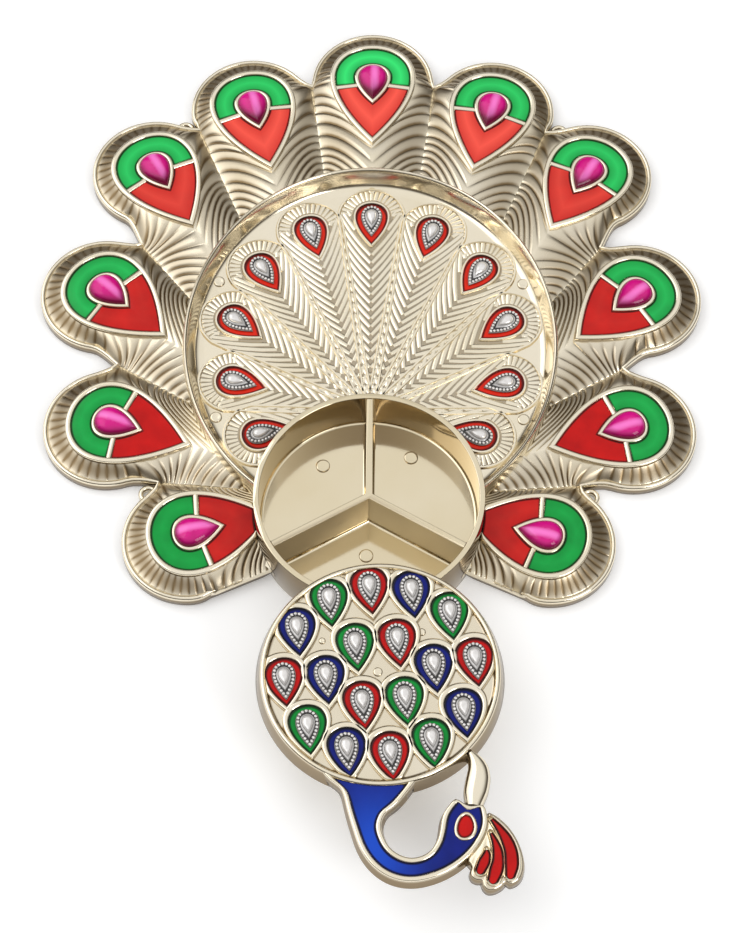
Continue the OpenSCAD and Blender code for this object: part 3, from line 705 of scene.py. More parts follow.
def makePetalRelief(k):
    steps = relief["arcSteps"]
    rows = relief["rows"]
    barbs = relief["barbs"]
    arc = lobeArc(k, relief["inset"], steps + 1)
    angles = [math.atan2(y - tail["lobeShift"], x) % (2 * math.pi) for x, y in arc]
    angles = [a - 2 * math.pi if a > 1.5 * math.pi else a for a in angles]
    size = (petal["eyeLong"] - relief["underRoll"], petal["eyeWide"] - relief["underRoll"])
    border = [dropAt(*size, math.pi * i / steps) for i in range(steps + 1)]
    right, left = petalFlanks(k, arc, angles, border)
    columns = 2 * barbs + relief["flutes"]
    turns = [m + s for m in range(columns) for s in relief["steps"]] + [columns]
    table, tones, satins = [[[] for row in range(len(rows) + 2)] for kind in range(3)]
    for turn in turns:
        if barbs < turn < columns - barbs:
            column = fluteColumn(turn, arc, angles, border)
        else:
            column = barbColumn(turn, right) if turn <= barbs else barbColumn(columns - turn, left)
        ontoSide = column[-1]
        wave = 1 - abs(math.cos(math.pi * (turn % 1))) ** relief["groovePower"]
        # Painted shade: darker in the grooves and on the slopes, for shade and dark reflections on the relief
        full = relief["grooveTone"] * (1 - wave) + relief["slopeTone"] * (1 - relief["barbTone"] * ontoSide)
        for row, (x, y, z) in enumerate(columnPlaces(*column, wave)):
            x, y = clearOfTray(*onPetal(k, x, y))
            table[row].append((*clearOfBowl(x, y), relief["lowZ"] if turn in (0, columns) else z))
            v = rows[min(max(row - 1, 0), len(rows) - 1)]
            inSlope = math.sin(math.pi * v ** (1 + relief["toneLean"] * ontoSide)) ** 0.5 if 0 < v < 1 else 0
            tones[row].append(min(full * inSlope, relief["toneMost"]))
            satins[row].append(relief["satin"] * inSlope)
    return closedSheet("relief%02d" % k, table, valuesOf(tones), valuesOf(satins))


def eyeOutline(k, length, width, count, shift=0):
    return [clearOfBowl(*onPetal(k, x, y)) for x, y in dropOutline(length, width, count, shift)]


def barLine(x):
    return petal["barY"] - petal["barDroop"] * abs(x)


# Border roll, collar round the gem and the two bars between them
rolls = {"lowZ": 5, "shape": (16, 0.5, 0.6), "borderSteps": 120, "collarSteps": 80, "collarUp": 0.1,
         "gemHold": 0.3, "barXs": [4.2, 6, 8, 9.9], "barZ": 6, "barWide": 0.72, "barFlat": 0.7}


def makePetalRolls(k):
    steps = rolls["borderSteps"]
    outer = eyeOutline(k, petal["eyeLong"], petal["eyeWide"], steps)
    inner = eyeOutline(k, petal["insideLong"], petal["insideWide"], steps, petal["insideShift"])
    border = rollBetween("border%02d" % k, outer, inner, rolls["lowZ"], petal["rollTop"], *rolls["shape"])
    wide = 2 * petal["collar"]
    steps = rolls["collarSteps"]
    outer = eyeOutline(k, petal["gemLong"] + wide, petal["gemWide"] + wide, steps)
    inner = eyeOutline(k, petal["gemLong"] - rolls["gemHold"], petal["gemWide"] - rolls["gemHold"], steps)
    collar = rollBetween("collar%02d" % k, outer, inner, rolls["lowZ"], petal["rollTop"] + rolls["collarUp"],
                         *rolls["shape"])
    bars = [[(*onPetal(k, way * x, barLine(x)), rolls["barZ"], 1) for x in rolls["barXs"]] for way in (1, -1)]
    return [border, collar, wireLines("bars%02d" % k, bars, rolls["barWide"], 2, flat=rolls["barFlat"])]


tailPieces = [makeTailBase()]
for k in range(1, tail["petals"] + 1):
    tailPieces.append(makePetalRelief(k))
    tailPieces += makePetalRolls(k)
print("petals shaped")


# Lacquer between two lines: a shallow pool with a painted shadow along its edge and a painted highlight along
# its middle. The edge has distance from the wall, height over the pool's level and painted shade
poolShape = {"edge": [(0, -0.1, 1), (0.12, 0, 1), (0.36, 0.02, 0.75), (0.62, 0.03, 0)], "crown": 0.05,
             "narrow": 1.6, "endTones": [1, 1, 0.6], "besideGlow": 0.45}


def lacquerPool(name, outer, inner, zLow, zTop, glow):
    n = len(outer)
    steps = [(0, zLow, 1)] + [(d, zTop + up, t) for d, up, t in poolShape["edge"]]
    count = 2 * len(steps) + 2
    table, tones = [[[] for row in range(count)] for kind in range(2)]
    for c in range(n):
        wide = math.hypot(inner[c][0] - outer[c][0], inner[c][1] - outer[c][1])
        squeeze = min(1, wide / poolShape["narrow"])
        endTone = (poolShape["endTones"] + [0] * n)[min(c, n - 1 - c)]
        column = [(d * squeeze / wide, z, t) for d, z, t in steps] + [(0.5, zTop + poolShape["crown"], 0)]
        column += [(1 - d * squeeze / wide, z, t) for d, z, t in reversed(steps)]
        column.append(column[0])
        for row, (share, z, t) in enumerate(column):
            table[row].append((*between(outer[c], inner[c], share), z))
            tones[row].append(max(t, endTone))
    glows = [0] * count
    middle = len(steps)
    glows[middle - 1:middle + 2] = [glow * poolShape["besideGlow"], glow, glow * poolShape["besideGlow"]]
    return closedSheet(name, table, valuesOf(tones), valuesOf([g] * n for g in glows))


# Lacquer of a petal's eye. Its painted highlight is listed from the top petal outwards, strongest at the top
petalPools = {"zLow": 5.2, "zTop": 6.1, "steps": 56, "ends": [0.003, 0.007], "fine": 720, "barGap": 0.55,
              "underRoll": 0.3, "underCollar": 0.2, "redGlow": [1, 0.9, 0.5, 0.12, 0, 0.12],
              "greenGlow": [1, 0.65, 0.6, 0.4, 0.25, 0.15]}


# The part of a drop outline above or below the bars, with short steps at its ends
def outlineBeyondBar(length, width, shift, above):
    points = dropOutline(length, width, petalPools["fine"], shift)
    gap = petalPools["barGap"]
    if above:
        keep = [p for p in points if p[1] - barLine(p[0]) > gap]
    else:
        half = petalPools["fine"] // 2
        keep = [p for p in points[half:] + points[:half] if p[1] - barLine(p[0]) < -gap]
    total = lineLengths(keep)
    steps = petalPools["steps"]
    shares = [0] + petalPools["ends"] + [i / steps for i in range(1, steps)]
    shares += [1 - s for s in reversed(petalPools["ends"])] + [1]
    return [alongLine(keep, total, s) for s in shares]


def petalPool(k, name, above):
    more = petalPools["underRoll"]
    wide = 2 * petal["collar"] - petalPools["underCollar"]
    outer = outlineBeyondBar(petal["insideLong"] + more, petal["insideWide"] + more, petal["insideShift"],
                             above)
    inner = outlineBeyondBar(petal["gemLong"] + wide, petal["gemWide"] + wide, 0, above)
    points = [[clearOfBowl(*onPetal(k, x, y)) for x, y in line] for line in (outer, inner)]
    glow = petalPools["greenGlow" if above else "redGlow"][abs(k - tail["top"])]
    return lacquerPool(name, *points, petalPools["zLow"], petalPools["zTop"], glow)


for k in range(1, tail["petals"] + 1):
    green = petalPool(k, "petalGreenLacquer%02d" % k, True)
    finishPiece(green, "plate", "green_enamel", greenLacquer, "petal_green_enamel_%02d" % k)
    red = petalPool(k, "petalRedLacquer%02d" % k, False)
    finishPiece(red, "plate", "red_enamel", redLacquer, "petal_red_enamel_%02d" % k)
print("petal lacquer poured")


# Pink cabochon, shaped once and set in every petal eye
cabochon = {"long": 10.9, "wide": 7.6, "high": 3.4, "girdle": 1.3, "around": 64, "levels": 11, "seatZ": 5.2,
            "foot": [(0.97, 0, 1), (1, 0.2, 1)], "tone": [0.7, 1.3], "nearTone": 0.35,
            "streak": 1.3, "streakX": 0.5, "streakFade": 1.6}


def makeCabochon():
    rows = cabochon["foot"] + [(1, cabochon["girdle"], 1)]
    for i in range(1, cabochon["levels"] + 1):
        a = math.pi / 2 * i / cabochon["levels"]
        rise = cabochon["girdle"] + (cabochon["high"] - cabochon["girdle"]) * math.sin(a)
        # Painted shade: darker towards the girdle
        tone = max(0, cabochon["tone"][0] - cabochon["tone"][1] * math.sin(a) ** 2)
        rows.append((max(math.cos(a), 0.0001), rise, tone))
    loops = []
    glows = []
    for share, z, tone in rows:
        points = dropOutline(cabochon["long"] * share, cabochon["wide"] * share, cabochon["around"])
        loops.append((points, z, tone))
        # Painted highlight: a light streak along the top of the gem
        bright = max(0, 1 - tone * cabochon["streakFade"])
        across = [(x - cabochon["streakX"]) / cabochon["streak"] for x, y in points + points[:1]]
        glows += [bright * max(0, 1 - c ** 2) for c in across]
    return stackLoops("cabochon", loops, glows)


def standing(x, y, z, turn):
    return Matrix.Translation((x * mm, y * mm, z * mm)) @ Matrix.Rotation(-math.radians(turn), 4, "Z")


# Painted shade on each gem, darker towards its near side
def shadeNearSide(gem, middleY):
    tone = gem.data.attributes["tone"].data
    for v, value in zip(gem.data.vertices, tone):
        near = max(0, middleY - v.co.y / mm) / (cabochon["wide"] / 2)
        value.value = min(1, value.value + cabochon["nearTone"] * near ** 2)


pattern = makeCabochon()
for k in range(1, tail["petals"] + 1):
    gem = copyAt(pattern, "petalGem%02d" % k, standing(*onPetal(k, 0, 0), cabochon["seatZ"], petalTurn(k)))
    shadeNearSide(gem, onPetal(k, 0, 0)[1])
    finishPiece(gem, "plate", "magenta_gem", pinkAcrylic, "petal_gem_%02d" % k, angle=60)
bpy.data.objects.remove(pattern)
print("gems set")


# Oval rim: a rounded top, a sloping inner wall and a cove at its foot. The section has inset and height
rim = {"steps": 200, "from": -57,
       "section": [(0, 2.1), (0, 8.7), (0.12, 9.4), (0.38, 9.85), (0.7, 10), (1, 9.86), (1.25, 9.4),
                   (1.7, 8.2), (2.15, 6.9), (2.5, 5.9), (2.85, 5.2), (3.4, 4.75), (4.2, 4.55), (5.2, 4.5),
                   (5.2, 3.4), (2.5, 2.1), (0, 2.1)]}


def ovalPlace(degrees, inset):
    t = math.radians(degrees)
    x = tail["ovalX"] * math.cos(t)
    y = tail["ovalY"] * math.sin(t)
    nx = math.cos(t) / tail["ovalX"]
    ny = math.sin(t) / tail["ovalY"]
    size = math.hypot(nx, ny)
    return x - nx / size * inset, tail["ovalMid"] + y - ny / size * inset


def rimPlace(i, steps, inset):
    return ovalPlace(rim["from"] + (180 - 2 * rim["from"]) * i / steps, inset)


def makeRim():
    table = []
    for inset, z in rim["section"]:
        line = [rimPlace(i, rim["steps"], inset) for i in range(rim["steps"] + 1)]
        table.append([(*clearOfBowl(*p), z) for p in line])
    return closedSheet("rim", table, gap=0.0005)


# Tray floor with eleven feathers drawn in raised lines
tray = {"floorZ": 4.5, "underZ": 3.4, "floorInset": 4.6, "floorSteps": 160, "socketSteps": 41, "hubY": 28,
        "turns": [0, 16.4, 33.9, 52.6, 76.2, 103.9], "end": 8.6, "root": 1, "gap": 0.8, "floorX": 44.1,
        "floorY": 49.1, "crown": 0.16, "sunk": 0.05, "groundTone": 0.55, "cellLong": 12.9, "cellWide": 8.4,
        "cellGrow": 0.5, "cellUp": 0.3, "line": 0.42, "lineUp": 0.2, "barbLine": 0.66, "barbFlat": 0.32,
        "barbSunk": 0.03, "barbTip": 0.85, "barbStep": 2.4, "barbLean": 1.15, "barbCurve": 0.045,
        "barbClear": (1.7, 1.5), "barbFrom": 0.1, "barbPart": 0.4, "barbParts": 25, "barbInside": 0.3,
        "barbEnds": (1, 2), "barbBelow": 4, "ticks": 17, "tickFrom": 3.3, "tickTo": 0.5,
        "tickTurn": (10, 160), "bowlGap": 0.5, "quillRows": 20, "endRows": 8, "lanes": 8, "sideSteps": 10,
        "arcSteps": 28, "cellSteps": 48}


def featherTurn(k):
    return turnIn(tray["turns"], k)


def featherReach(k):
    return reachOval(tray["hubY"], featherTurn(k), tray["floorX"], tray["floorY"]) - tray["end"] - tray["gap"]


def onFeather(k, x, y):
    return fromHub(tray["hubY"], featherTurn(k), featherReach(k) + y, x)


def featherHalf(k, y):
    if y > 0:
        return math.sqrt(max(tray["end"] ** 2 - y * y, 0))
    return tray["root"] + (tray["end"] - tray["root"]) * max(0, 1 + y / featherReach(k))


def makeTrayFloor():
    outline = [rimPlace(i, tray["floorSteps"], tray["floorInset"]) for i in range(tray["floorSteps"] + 1)]
    outline = alongBowl([p for p in outline if math.hypot(*p) > tail["bowlClear"]], tray["socketSteps"])
    return plateFromOutline("trayFloor", outline, tray["underZ"], tray["floorZ"])


def makeFeather(k):
    reach = featherReach(k)
    ys = [-reach + (reach + 1) * i / tray["quillRows"] for i in range(tray["quillRows"])]
    ys += [tray["end"] * math.sin(math.pi / 2 * i / tray["endRows"]) for i in range(tray["endRows"] + 1)]
    lowZ = tray["floorZ"] - tray["sunk"]
    table = []
    for y in ys:
        half = max(featherHalf(k, y), 0.02)
        row = []
        for across in [2 * i / tray["lanes"] - 1 for i in range(tray["lanes"] + 1)]:
            up = (tray["crown"] + tray["sunk"]) * (1 - across ** 4)
            row.append((*clearOfBowl(*onFeather(k, across * half, y)), lowZ + up))
        table.append(row)
    for end in (0, -1):
        table[end] = [(x, y, lowZ) for x, y, z in table[end]]
    return closedSheet("feather%02d" % k, table, [tray["groundTone"]] * (len(table) * len(table[0])))


def inDrop(x, y, length, width):
    share = -(y + length / 6) * 2 / length
    return abs(share) < 1 and abs(x) < dropAt(length, width, math.acos(share))[0]


# A barb that starts at a height on the quill, as far as it lies on the feather and clear of the cell
def featherBarb(k, footY):
    line = []
    clear = (tray["cellLong"] + tray["barbClear"][0], tray["cellWide"] + tray["barbClear"][1])
    lowest = tray["barbEnds"][0] - featherReach(k)
    for x in [tray["barbFrom"] + j * tray["barbPart"] for j in range(tray["barbParts"])]:
        y = footY + tray["barbLean"] * x + tray["barbCurve"] * x * x
        fits = x < featherHalf(k, y) - tray["barbInside"] and lowest < y < tray["barbEnds"][1]
        if fits and not inDrop(x, y, *clear):
            line.append((x, y))
    return line


def featherLines(k):
    reach = featherReach(k)
    heights = [-reach + reach * i / tray["sideSteps"] for i in range(tray["sideSteps"])]
    side = [(featherHalf(k, y), y) for y in heights]
    end = [polar(tray["end"], math.pi * i / tray["arcSteps"]) for i in range(tray["arcSteps"] + 1)]
    outline = side + end + [(-x, y) for x, y in reversed(side)]
    barbs = []
    for i in range(int((reach + 2 * tray["barbBelow"]) / tray["barbStep"]) + 1):
        line = featherBarb(k, -reach - tray["barbBelow"] + i * tray["barbStep"])
        if len(line) > 2:
            third = len(line) // 3
            for way in (1, -1):
                barbs.append([(way * x, y) for x, y in (line[0], line[third], line[-1 - third], line[-1])])
    for i in range(tray["ticks"]):
        a = math.radians(tray["tickTurn"][0] + tray["tickTurn"][1] * i / (tray["ticks"] - 1))
        barbs.append([polar(tray["end"] - inside, a) for inside in (tray["tickFrom"], tray["tickTo"])])
    found = []
    barbZ = tray["floorZ"] + tray["crown"] - tray["barbSunk"]
    for lines, z, tip in (([outline], tray["floorZ"] + tray["lineUp"], 1), (barbs, barbZ, tray["barbTip"])):
        raised = []
        for line in lines:
            widths = [tip] + [1] * (len(line) - 2) + [tip]
            places = [(*onFeather(k, *p), z, wide) for p, wide in zip(line, widths)]
            raised.append([p for p in places if math.hypot(*p[:2]) > tail["bowlClear"] + tray["bowlGap"]])
        found.append([line for line in raised if len(line) > 1])
    return found


# A round mark left by a pin of the mould. The edge has inset, height and a painted shade, dark at its foot
pinShape = {"edge": [(0, -0.1, 0.85), (0, 0.2, 0.7), (0.12, 0.36, 0.2), (0.35, 0.42, 0), (0.6, 0.4, 0)],
            "low": -0.1, "middle": 0.34, "steps": 28}


def pinDisc(name, x, y, z, radius):
    section = [(0.0001, z + pinShape["low"])]
    section += [(radius - inset, z + up, tone) for inset, up, tone in pinShape["edge"]]
    section.append((0.0001, z + pinShape["middle"]))
    return lathe(name, section, x, y, pinShape["steps"])


pinMarks = [(-39, 66, 1.5), (39, 66, 1.5), (-38.3, 26.2, 1.5), (38.3, 26.2, 1.5), (-18, 89.7, 1),
            (18, 89.7, 1), (0, 94.4, 1)]
tailPieces += [makeRim(), makeTrayFloor()]
outlineLines = []
barbLines = []
cellLines = []
for k in range(1, tail["petals"] + 1):
    tailPieces.append(makeFeather(k))
    outlines, barbs = featherLines(k)
    outlineLines += outlines
    barbLines += barbs
    cell = dropOutline(tray["cellLong"] + tray["cellGrow"], tray["cellWide"] + tray["cellGrow"],
                       tray["cellSteps"])
    cellLines.append([(*onFeather(k, x, y), tray["floorZ"] + tray["cellUp"], 1) for x, y in cell])
tailPieces.append(wireLines("featherOutlines", outlineLines, tray["line"], 1))
tailPieces.append(wireLines("featherBarbs", barbLines, tray["barbLine"], 2, flat=tray["barbFlat"]))
tailPieces.append(wireLines("featherCells", cellLines, tray["line"], 1, closed=True))
for i, (x, y, radius) in enumerate(pinMarks):
    tailPieces.append(pinDisc("pinMark%02d" % i, x, y, tray["floorZ"], radius))
print("tray shaped")


# Four hanging eyelets in the notches
eyelets = {"places": [(49.8772, 115.741), (54.4374, 6.0715)], "hole": 1.2, "wall": 1.2, "high": 2,
           "steps": 32}


def makeEyelet(name, x, y):
    hole = eyelets["hole"]
    out = hole + eyelets["wall"]
    high = eyelets["high"]
    section = [(hole, 0.2), (hole + 0.2, 0), (out - 0.2, 0), (out, 0.2), (out, high - 0.5),
               (out - 0.25, high - 0.12), (out - 0.6, high), (hole + 0.3, high - 0.1), (hole, high - 0.4),
               (hole, 0.2)]
    return lathe(name, section, x, y, eyelets["steps"])


for i, (x, y) in enumerate(eyelets["places"]):
    tailPieces += [makeEyelet("eyelet%d%d" % (i, way), way * x, y) for way in (1, -1)]
tailPlate = joinAs("tailPlate", tailPieces)
finishPiece(tailPlate, "plate", "gold_plating", plateGold, "tail_plate", angle=50)
print("tail plate joined", len(tailPlate.data.polygons))


# Loops of a drop drawn in by distances, each with a height and a tone, about its widest place or its middle
def dropLoops(length, width, rows, count, aboutMiddle):
    loops = []
    for inset, z, tone in rows:
        share = 1 - inset / (width / 2)
        shift = length * share / 6 if aboutMiddle else 0
        loops.append((dropOutline(length * share, width * share, count, shift), z, tone))
    return loops


# A drop of lacquer for a cell, placed by the middle of its length. The edge has distance from the wall,
# height over the pool's level and painted shade, a shadow painted along the wall
dropPool = {"edge": [(0, -0.1, 1), (0.12, 0, 1), (0.4, 0.01, 0.8), (0.7, 0.02, 0)], "crown": 0.04,
            "around": 48}


def makeDropPool(name, length, width, zLow, zTop):
    rows = [(0, zLow, 1)] + [(inset, zTop + up, tone) for inset, up, tone in dropPool["edge"]]
    rows.append((width / 2 - 0.001, zTop + dropPool["crown"], 0))
    return stackLoops(name, dropLoops(length, width, rows, dropPool["around"], True))


# Silver foil stone: a dark drop plate, a ring of beads and a raised drop in the middle. The rows have inset,
# height and tone
stone = {"long": 9.3, "wide": 5.5, "high": 1.8, "around": 44, "beads": 22, "bead": 0.39, "beadInset": 1.15,
         "beadZ": 0.78, "beadFlat": 0.8,
         "rows": [(0.15, 0, 1), (0, 0.15, 1), (0, 0.55, 0.6), (0.18, 0.72, 0.9), (0.9, 0.74, 1),
                  (1, 0.76, 0.9), (1.08, 0.95, 0.3), (1.35, 1.05, 0.45), (1.42, 1.05, 0.75),
                  (1.55, 1.35, 0.1), (1.8, 1.65, 0), (2.1, 1.77, 0)]}


def makeStone():
    rows = stone["rows"] + [(stone["wide"] / 2 - 0.001, stone["high"], 0)]
    plate = stackLoops("stonePlate", dropLoops(stone["long"], stone["wide"], rows, stone["around"], False))
    ring = dropOutline(stone["long"] - stone["beadInset"], stone["wide"] - stone["beadInset"], 360)
    beads = []
    for x, y in evenly(ring + ring[:1], stone["beads"] + 1)[:-1]:
        startFresh()
        bpy.ops.mesh.primitive_uv_sphere_add(segments=8, ring_count=5, radius=stone["bead"] * mm,
                                             location=(x * mm, y * mm, stone["beadZ"] * mm))
        bpy.ops.transform.resize(value=(1, 1, stone["beadFlat"]))
        bpy.ops.object.transform_apply(location=True, rotation=True, scale=True)
        beads.append(bpy.context.object)
    return joinAs("stonePattern", [plate] + beads)


trayCell = {"long": 12.8, "wide": 8.3, "zLow": 3.9, "zTop": 4.8}
stonePattern = makeStone()
trayPool = makeDropPool("trayPool", trayCell["long"], trayCell["wide"], trayCell["zLow"], trayCell["zTop"])
pools = []
for k in range(1, tail["petals"] + 1):
    middle = onFeather(k, 0, -tray["cellLong"] / 6)
    pools.append(copyAt(trayPool, "trayPool%02d" % k, standing(*middle, 0, featherTurn(k))))
    seat = standing(*onFeather(k, 0, 0), trayCell["zTop"], featherTurn(k))
    piece = copyAt(stonePattern, "trayStone%02d" % k, seat)
    finishPiece(piece, "plate", "silver_stone", stoneFoil, "tray_stone_%02d" % k, angle=60)
bpy.data.objects.remove(trayPool)
finishPiece(joinAs("trayRedLacquer", pools), "plate", "red_enamel", trayLacquer, "tray_enamel")
print("tray stones set")


# Bowl: the CAD's own shape with rounded edges, a cove at the foot of its walls, and marks of the mould's pins
# on its floor. Walls and arms are told apart by distances from its middle
bowl = {"round": 0.32, "roundSteps": 3, "roundFrom": 40, "flatTo": 0.3, "floorTop": 4, "floorLeast": 50,
        "floorStrip": 0.25, "marks": [(-11.5, 14), (10.3, 16.5), (-0.6, -10.6)], "mark": 1.75, "floorZ": 2,
        "inside": 26.62, "coveSteps": 128, "arms": [90, 210, 330], "armHalf": 0.8, "armSunk": 0.02,
        "armFrom": 0.6, "armShort": 0.5, "outerWall": 27.6, "innerWall": (26.2, 27), "wallFacing": 0.6,
        "wallLow": 2.2, "wallTop": 13.9, "armFace": (0.5, 1.2), "armTop": 13.8, "armEnd": 26.8,
        "backFrom": 1.5, "outerTone": 0.78, "innerTone": (0.3, 0.5), "armTone": 0.3,
        "cove": [(0, -0.1), (0.8, -0.01), (0.6, 0.03), (0.36, 0.12), (0.16, 0.32), (0.05, 0.56), (0, 0.76),
                 (0, -0.1)]}


# A cove along one side of a divider's arm
def armCove(name, turn, side):
    a = math.radians(turn)
    table = []
    for out, up in bowl["cove"]:
        across = side * (bowl["armHalf"] - bowl["armSunk"] + out)
        table.append([(t * math.cos(a) - across * math.sin(a), t * math.sin(a) + across * math.cos(a),
                       bowl["floorZ"] + up) for t in (bowl["armFrom"], bowl["inside"] - bowl["armShort"])])
    return closedSheet(name, table)


# Painted shade where the polished walls would mirror the dark room: outside, at the back and on the left arm
def bowlTone(vertex):
    x, y, z = (c / mm for c in vertex.co)
    r = math.hypot(x, y)
    onWall = abs(vertex.normal.x * x + vertex.normal.y * y) > bowl["wallFacing"] * r and z < bowl["wallTop"]
    if onWall and r > bowl["outerWall"]:
        return bowl["outerTone"]
    if onWall and bowl["innerWall"][0] < r < bowl["innerWall"][1] and z > bowl["wallLow"]:
        return bowl["innerTone"][0] + bowl["innerTone"][1] * max(0, y / r) ** 2
    return bowl["armTone"] if onArm(vertex) and x < 0 and y < 0 else 0


# The faces of the arms that show, which are satin from the mould: the front of two, both sides of the third
def onArm(vertex):
    x, y, z = (c / mm for c in vertex.co)
    near, far = bowl["armFace"]
    onFront = near < -(abs(x) * 0.5 + y * math.sin(math.radians(60))) < far
    onSide = near < abs(x) < far and y > bowl["backFrom"]
    return (onFront or onSide) and bowl["wallLow"] < z < bowl["armTop"] and math.hypot(x, y) < bowl["armEnd"]


# A narrow strip round each floor keeps its middle flat, so that it mirrors evenly
def stripRoundFloors(piece):
    bpy.ops.object.mode_set(mode="EDIT")
    bpy.ops.mesh.select_mode(type="FACE")
    bpy.ops.mesh.select_all(action="DESELECT")
    bpy.ops.object.mode_set(mode="OBJECT")
    for face in piece.data.polygons:
        isFloor = face.center.z < bowl["floorTop"] * mm and face.area > bowl["floorLeast"] * mm ** 2
        face.select = face.normal.z > 0.999 and isFloor
    bpy.ops.object.mode_set(mode="EDIT")
    bpy.ops.mesh.inset(thickness=bowl["floorStrip"] * mm)
    bpy.ops.object.mode_set(mode="OBJECT")


def makeBowl():
    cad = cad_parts["kumkum_bowl"]
    piece = cad.copy()
    piece.data = cad.data.copy()
    piece.name = "kumkumBowl"
    piece.parent = None
    for key in list(piece.keys()):
        del piece[key]
    bpy.context.collection.objects.link(piece)
    pick(piece)
    bpy.ops.object.mode_set(mode="EDIT")
    bpy.ops.mesh.select_all(action="SELECT")
    bpy.ops.mesh.remove_doubles(threshold=0.001 * mm)
    bpy.ops.mesh.dissolve_limited(angle_limit=math.radians(bowl["flatTo"]))
    bpy.ops.object.mode_set(mode="OBJECT")
    rounding = piece.modifiers.new("rounding", "BEVEL")
    rounding.width = bowl["round"] * mm
    rounding.segments = bowl["roundSteps"]
    rounding.limit_method = "ANGLE"
    rounding.angle_limit = math.radians(bowl["roundFrom"])
    bpy.ops.object.modifier_apply(modifier="rounding")
    stripRoundFloors(piece)
    setTone(piece, [bowlTone(v) for v in piece.data.vertices])
    setTone(piece, [1.0 if onArm(v) else 0.0 for v in piece.data.vertices], "glow")
    extras = []
    for i, place in enumerate(bowl["marks"]):
        extras.append(pinDisc("bowlMark%d" % i, *place, bowl["floorZ"], bowl["mark"]))
    ring = [(bowl["inside"] - out, bowl["floorZ"] + up) for out, up in bowl["cove"]]
    cove = lathe("wallCove", ring, 0, 0, bowl["coveSteps"])
    setTone(cove, [bowlTone(v) for v in cove.data.vertices])
    extras.append(cove)
    for turn in bowl["arms"]:
        extras += [armCove("armCove%d_%d" % (turn, side), turn, side) for side in (-1, 1)]
    return joinAs("kumkumBowl", [piece] + extras)


finishPiece(makeBowl(), "plate", "bowl_gold", bowlGold, "kumkum_bowl", angle=25)
print("bowl rounded")


# Lid: a flared disc with a rounded rim, a sunken ground and a ridge round each cell. Local places have the
# lid's middle at the origin, the stud towards +Y and the neck towards -Y
lid = {"radius": 27.6, "pivot": 24.2, "turn": 7, "cellLong": 12, "cellWide": 8.6, "ridge": 1.42,
       "ridgeTop": 18.95, "ridgeSunk": 0.6, "ridgeShape": (14, 0.85, 0.75), "ridgeReach": 26.4,
       "ridgeStretch": 1.15, "overlap": 0.1, "poolZ": (17.9, 18.55), "groundZ": 17.95, "edgeX": 5.5,
       "edgeY": 6.8, "innerSide": 12.5, "innerX": 4.9, "innerY": 7.3, "innerShift": 0.5,
       "turns": [0, 26, 54, 90, 126, 154, 180, 206, 234, 270, 306, 334],
       "marks": [(-0.5, 0.3, 1.1), (10.8, 9.1, 0.9), (-12.4, 9.5, 0.8)],
       # The section's third value is a painted shade, dark on the skirt and round the rim's foot
       "section": [(0.0001, 16.3), (24.7, 16.3), (25.1, 16.1), (25.2, 15.8), (25.2, 14.5), (25.4, 14.3),
                   (28.5, 14.3, 0.86), (28.78, 14.42, 0.86), (28.8, 14.75, 0.86), (27.82, 18, 0.75),
                   (27.66, 18.5, 0.2), (27.4, 18.8), (27.05, 18.92), (26.75, 18.85), (26.5, 18.55),
                   (26.35, 18.15, 0.6), (26.1, 17.97, 0.5), (25.8, 17.95, 0.08), (0.0001, 17.95, 0.08)],
       "stud": [(0.8, 4.3), (1.4, 4.3), (1.5, 4.5), (1.5, 14.6), (0.8, 14.6), (0.8, 4.3)],
       "studPad": [(0.0001, 14.3), (2.8, 14.3), (3, 14.5), (3, 16.5), (0.0001, 16.5)]}


def onLid(x, y):
    a = math.radians(lid["turn"])
    y -= lid["pivot"]
    return x * math.cos(a) - y * math.sin(a), x * math.sin(a) + y * math.cos(a) - lid["pivot"]


def lidCells():
    cells = []
    for i, turn in enumerate(lid["turns"]):
        a = math.radians(turn)
        place = ((lid["radius"] - lid["edgeX"]) * math.sin(a), (lid["radius"] - lid["edgeY"]) * math.cos(a))
        cells.append((*place, ("red", "blue", "green")[i % 3]))
    inner = [(-lid["innerX"], lid["innerY"]), (lid["innerX"], lid["innerY"]), (lid["innerSide"], 0),
             (lid["innerX"], -lid["innerY"]), (-lid["innerX"], -lid["innerY"]), (-lid["innerSide"], 0)]
    for i, (x, y) in enumerate(inner):
        cells.append((x, y - lid["innerShift"], ("green", "red", "blue")[i % 3]))
    return cells


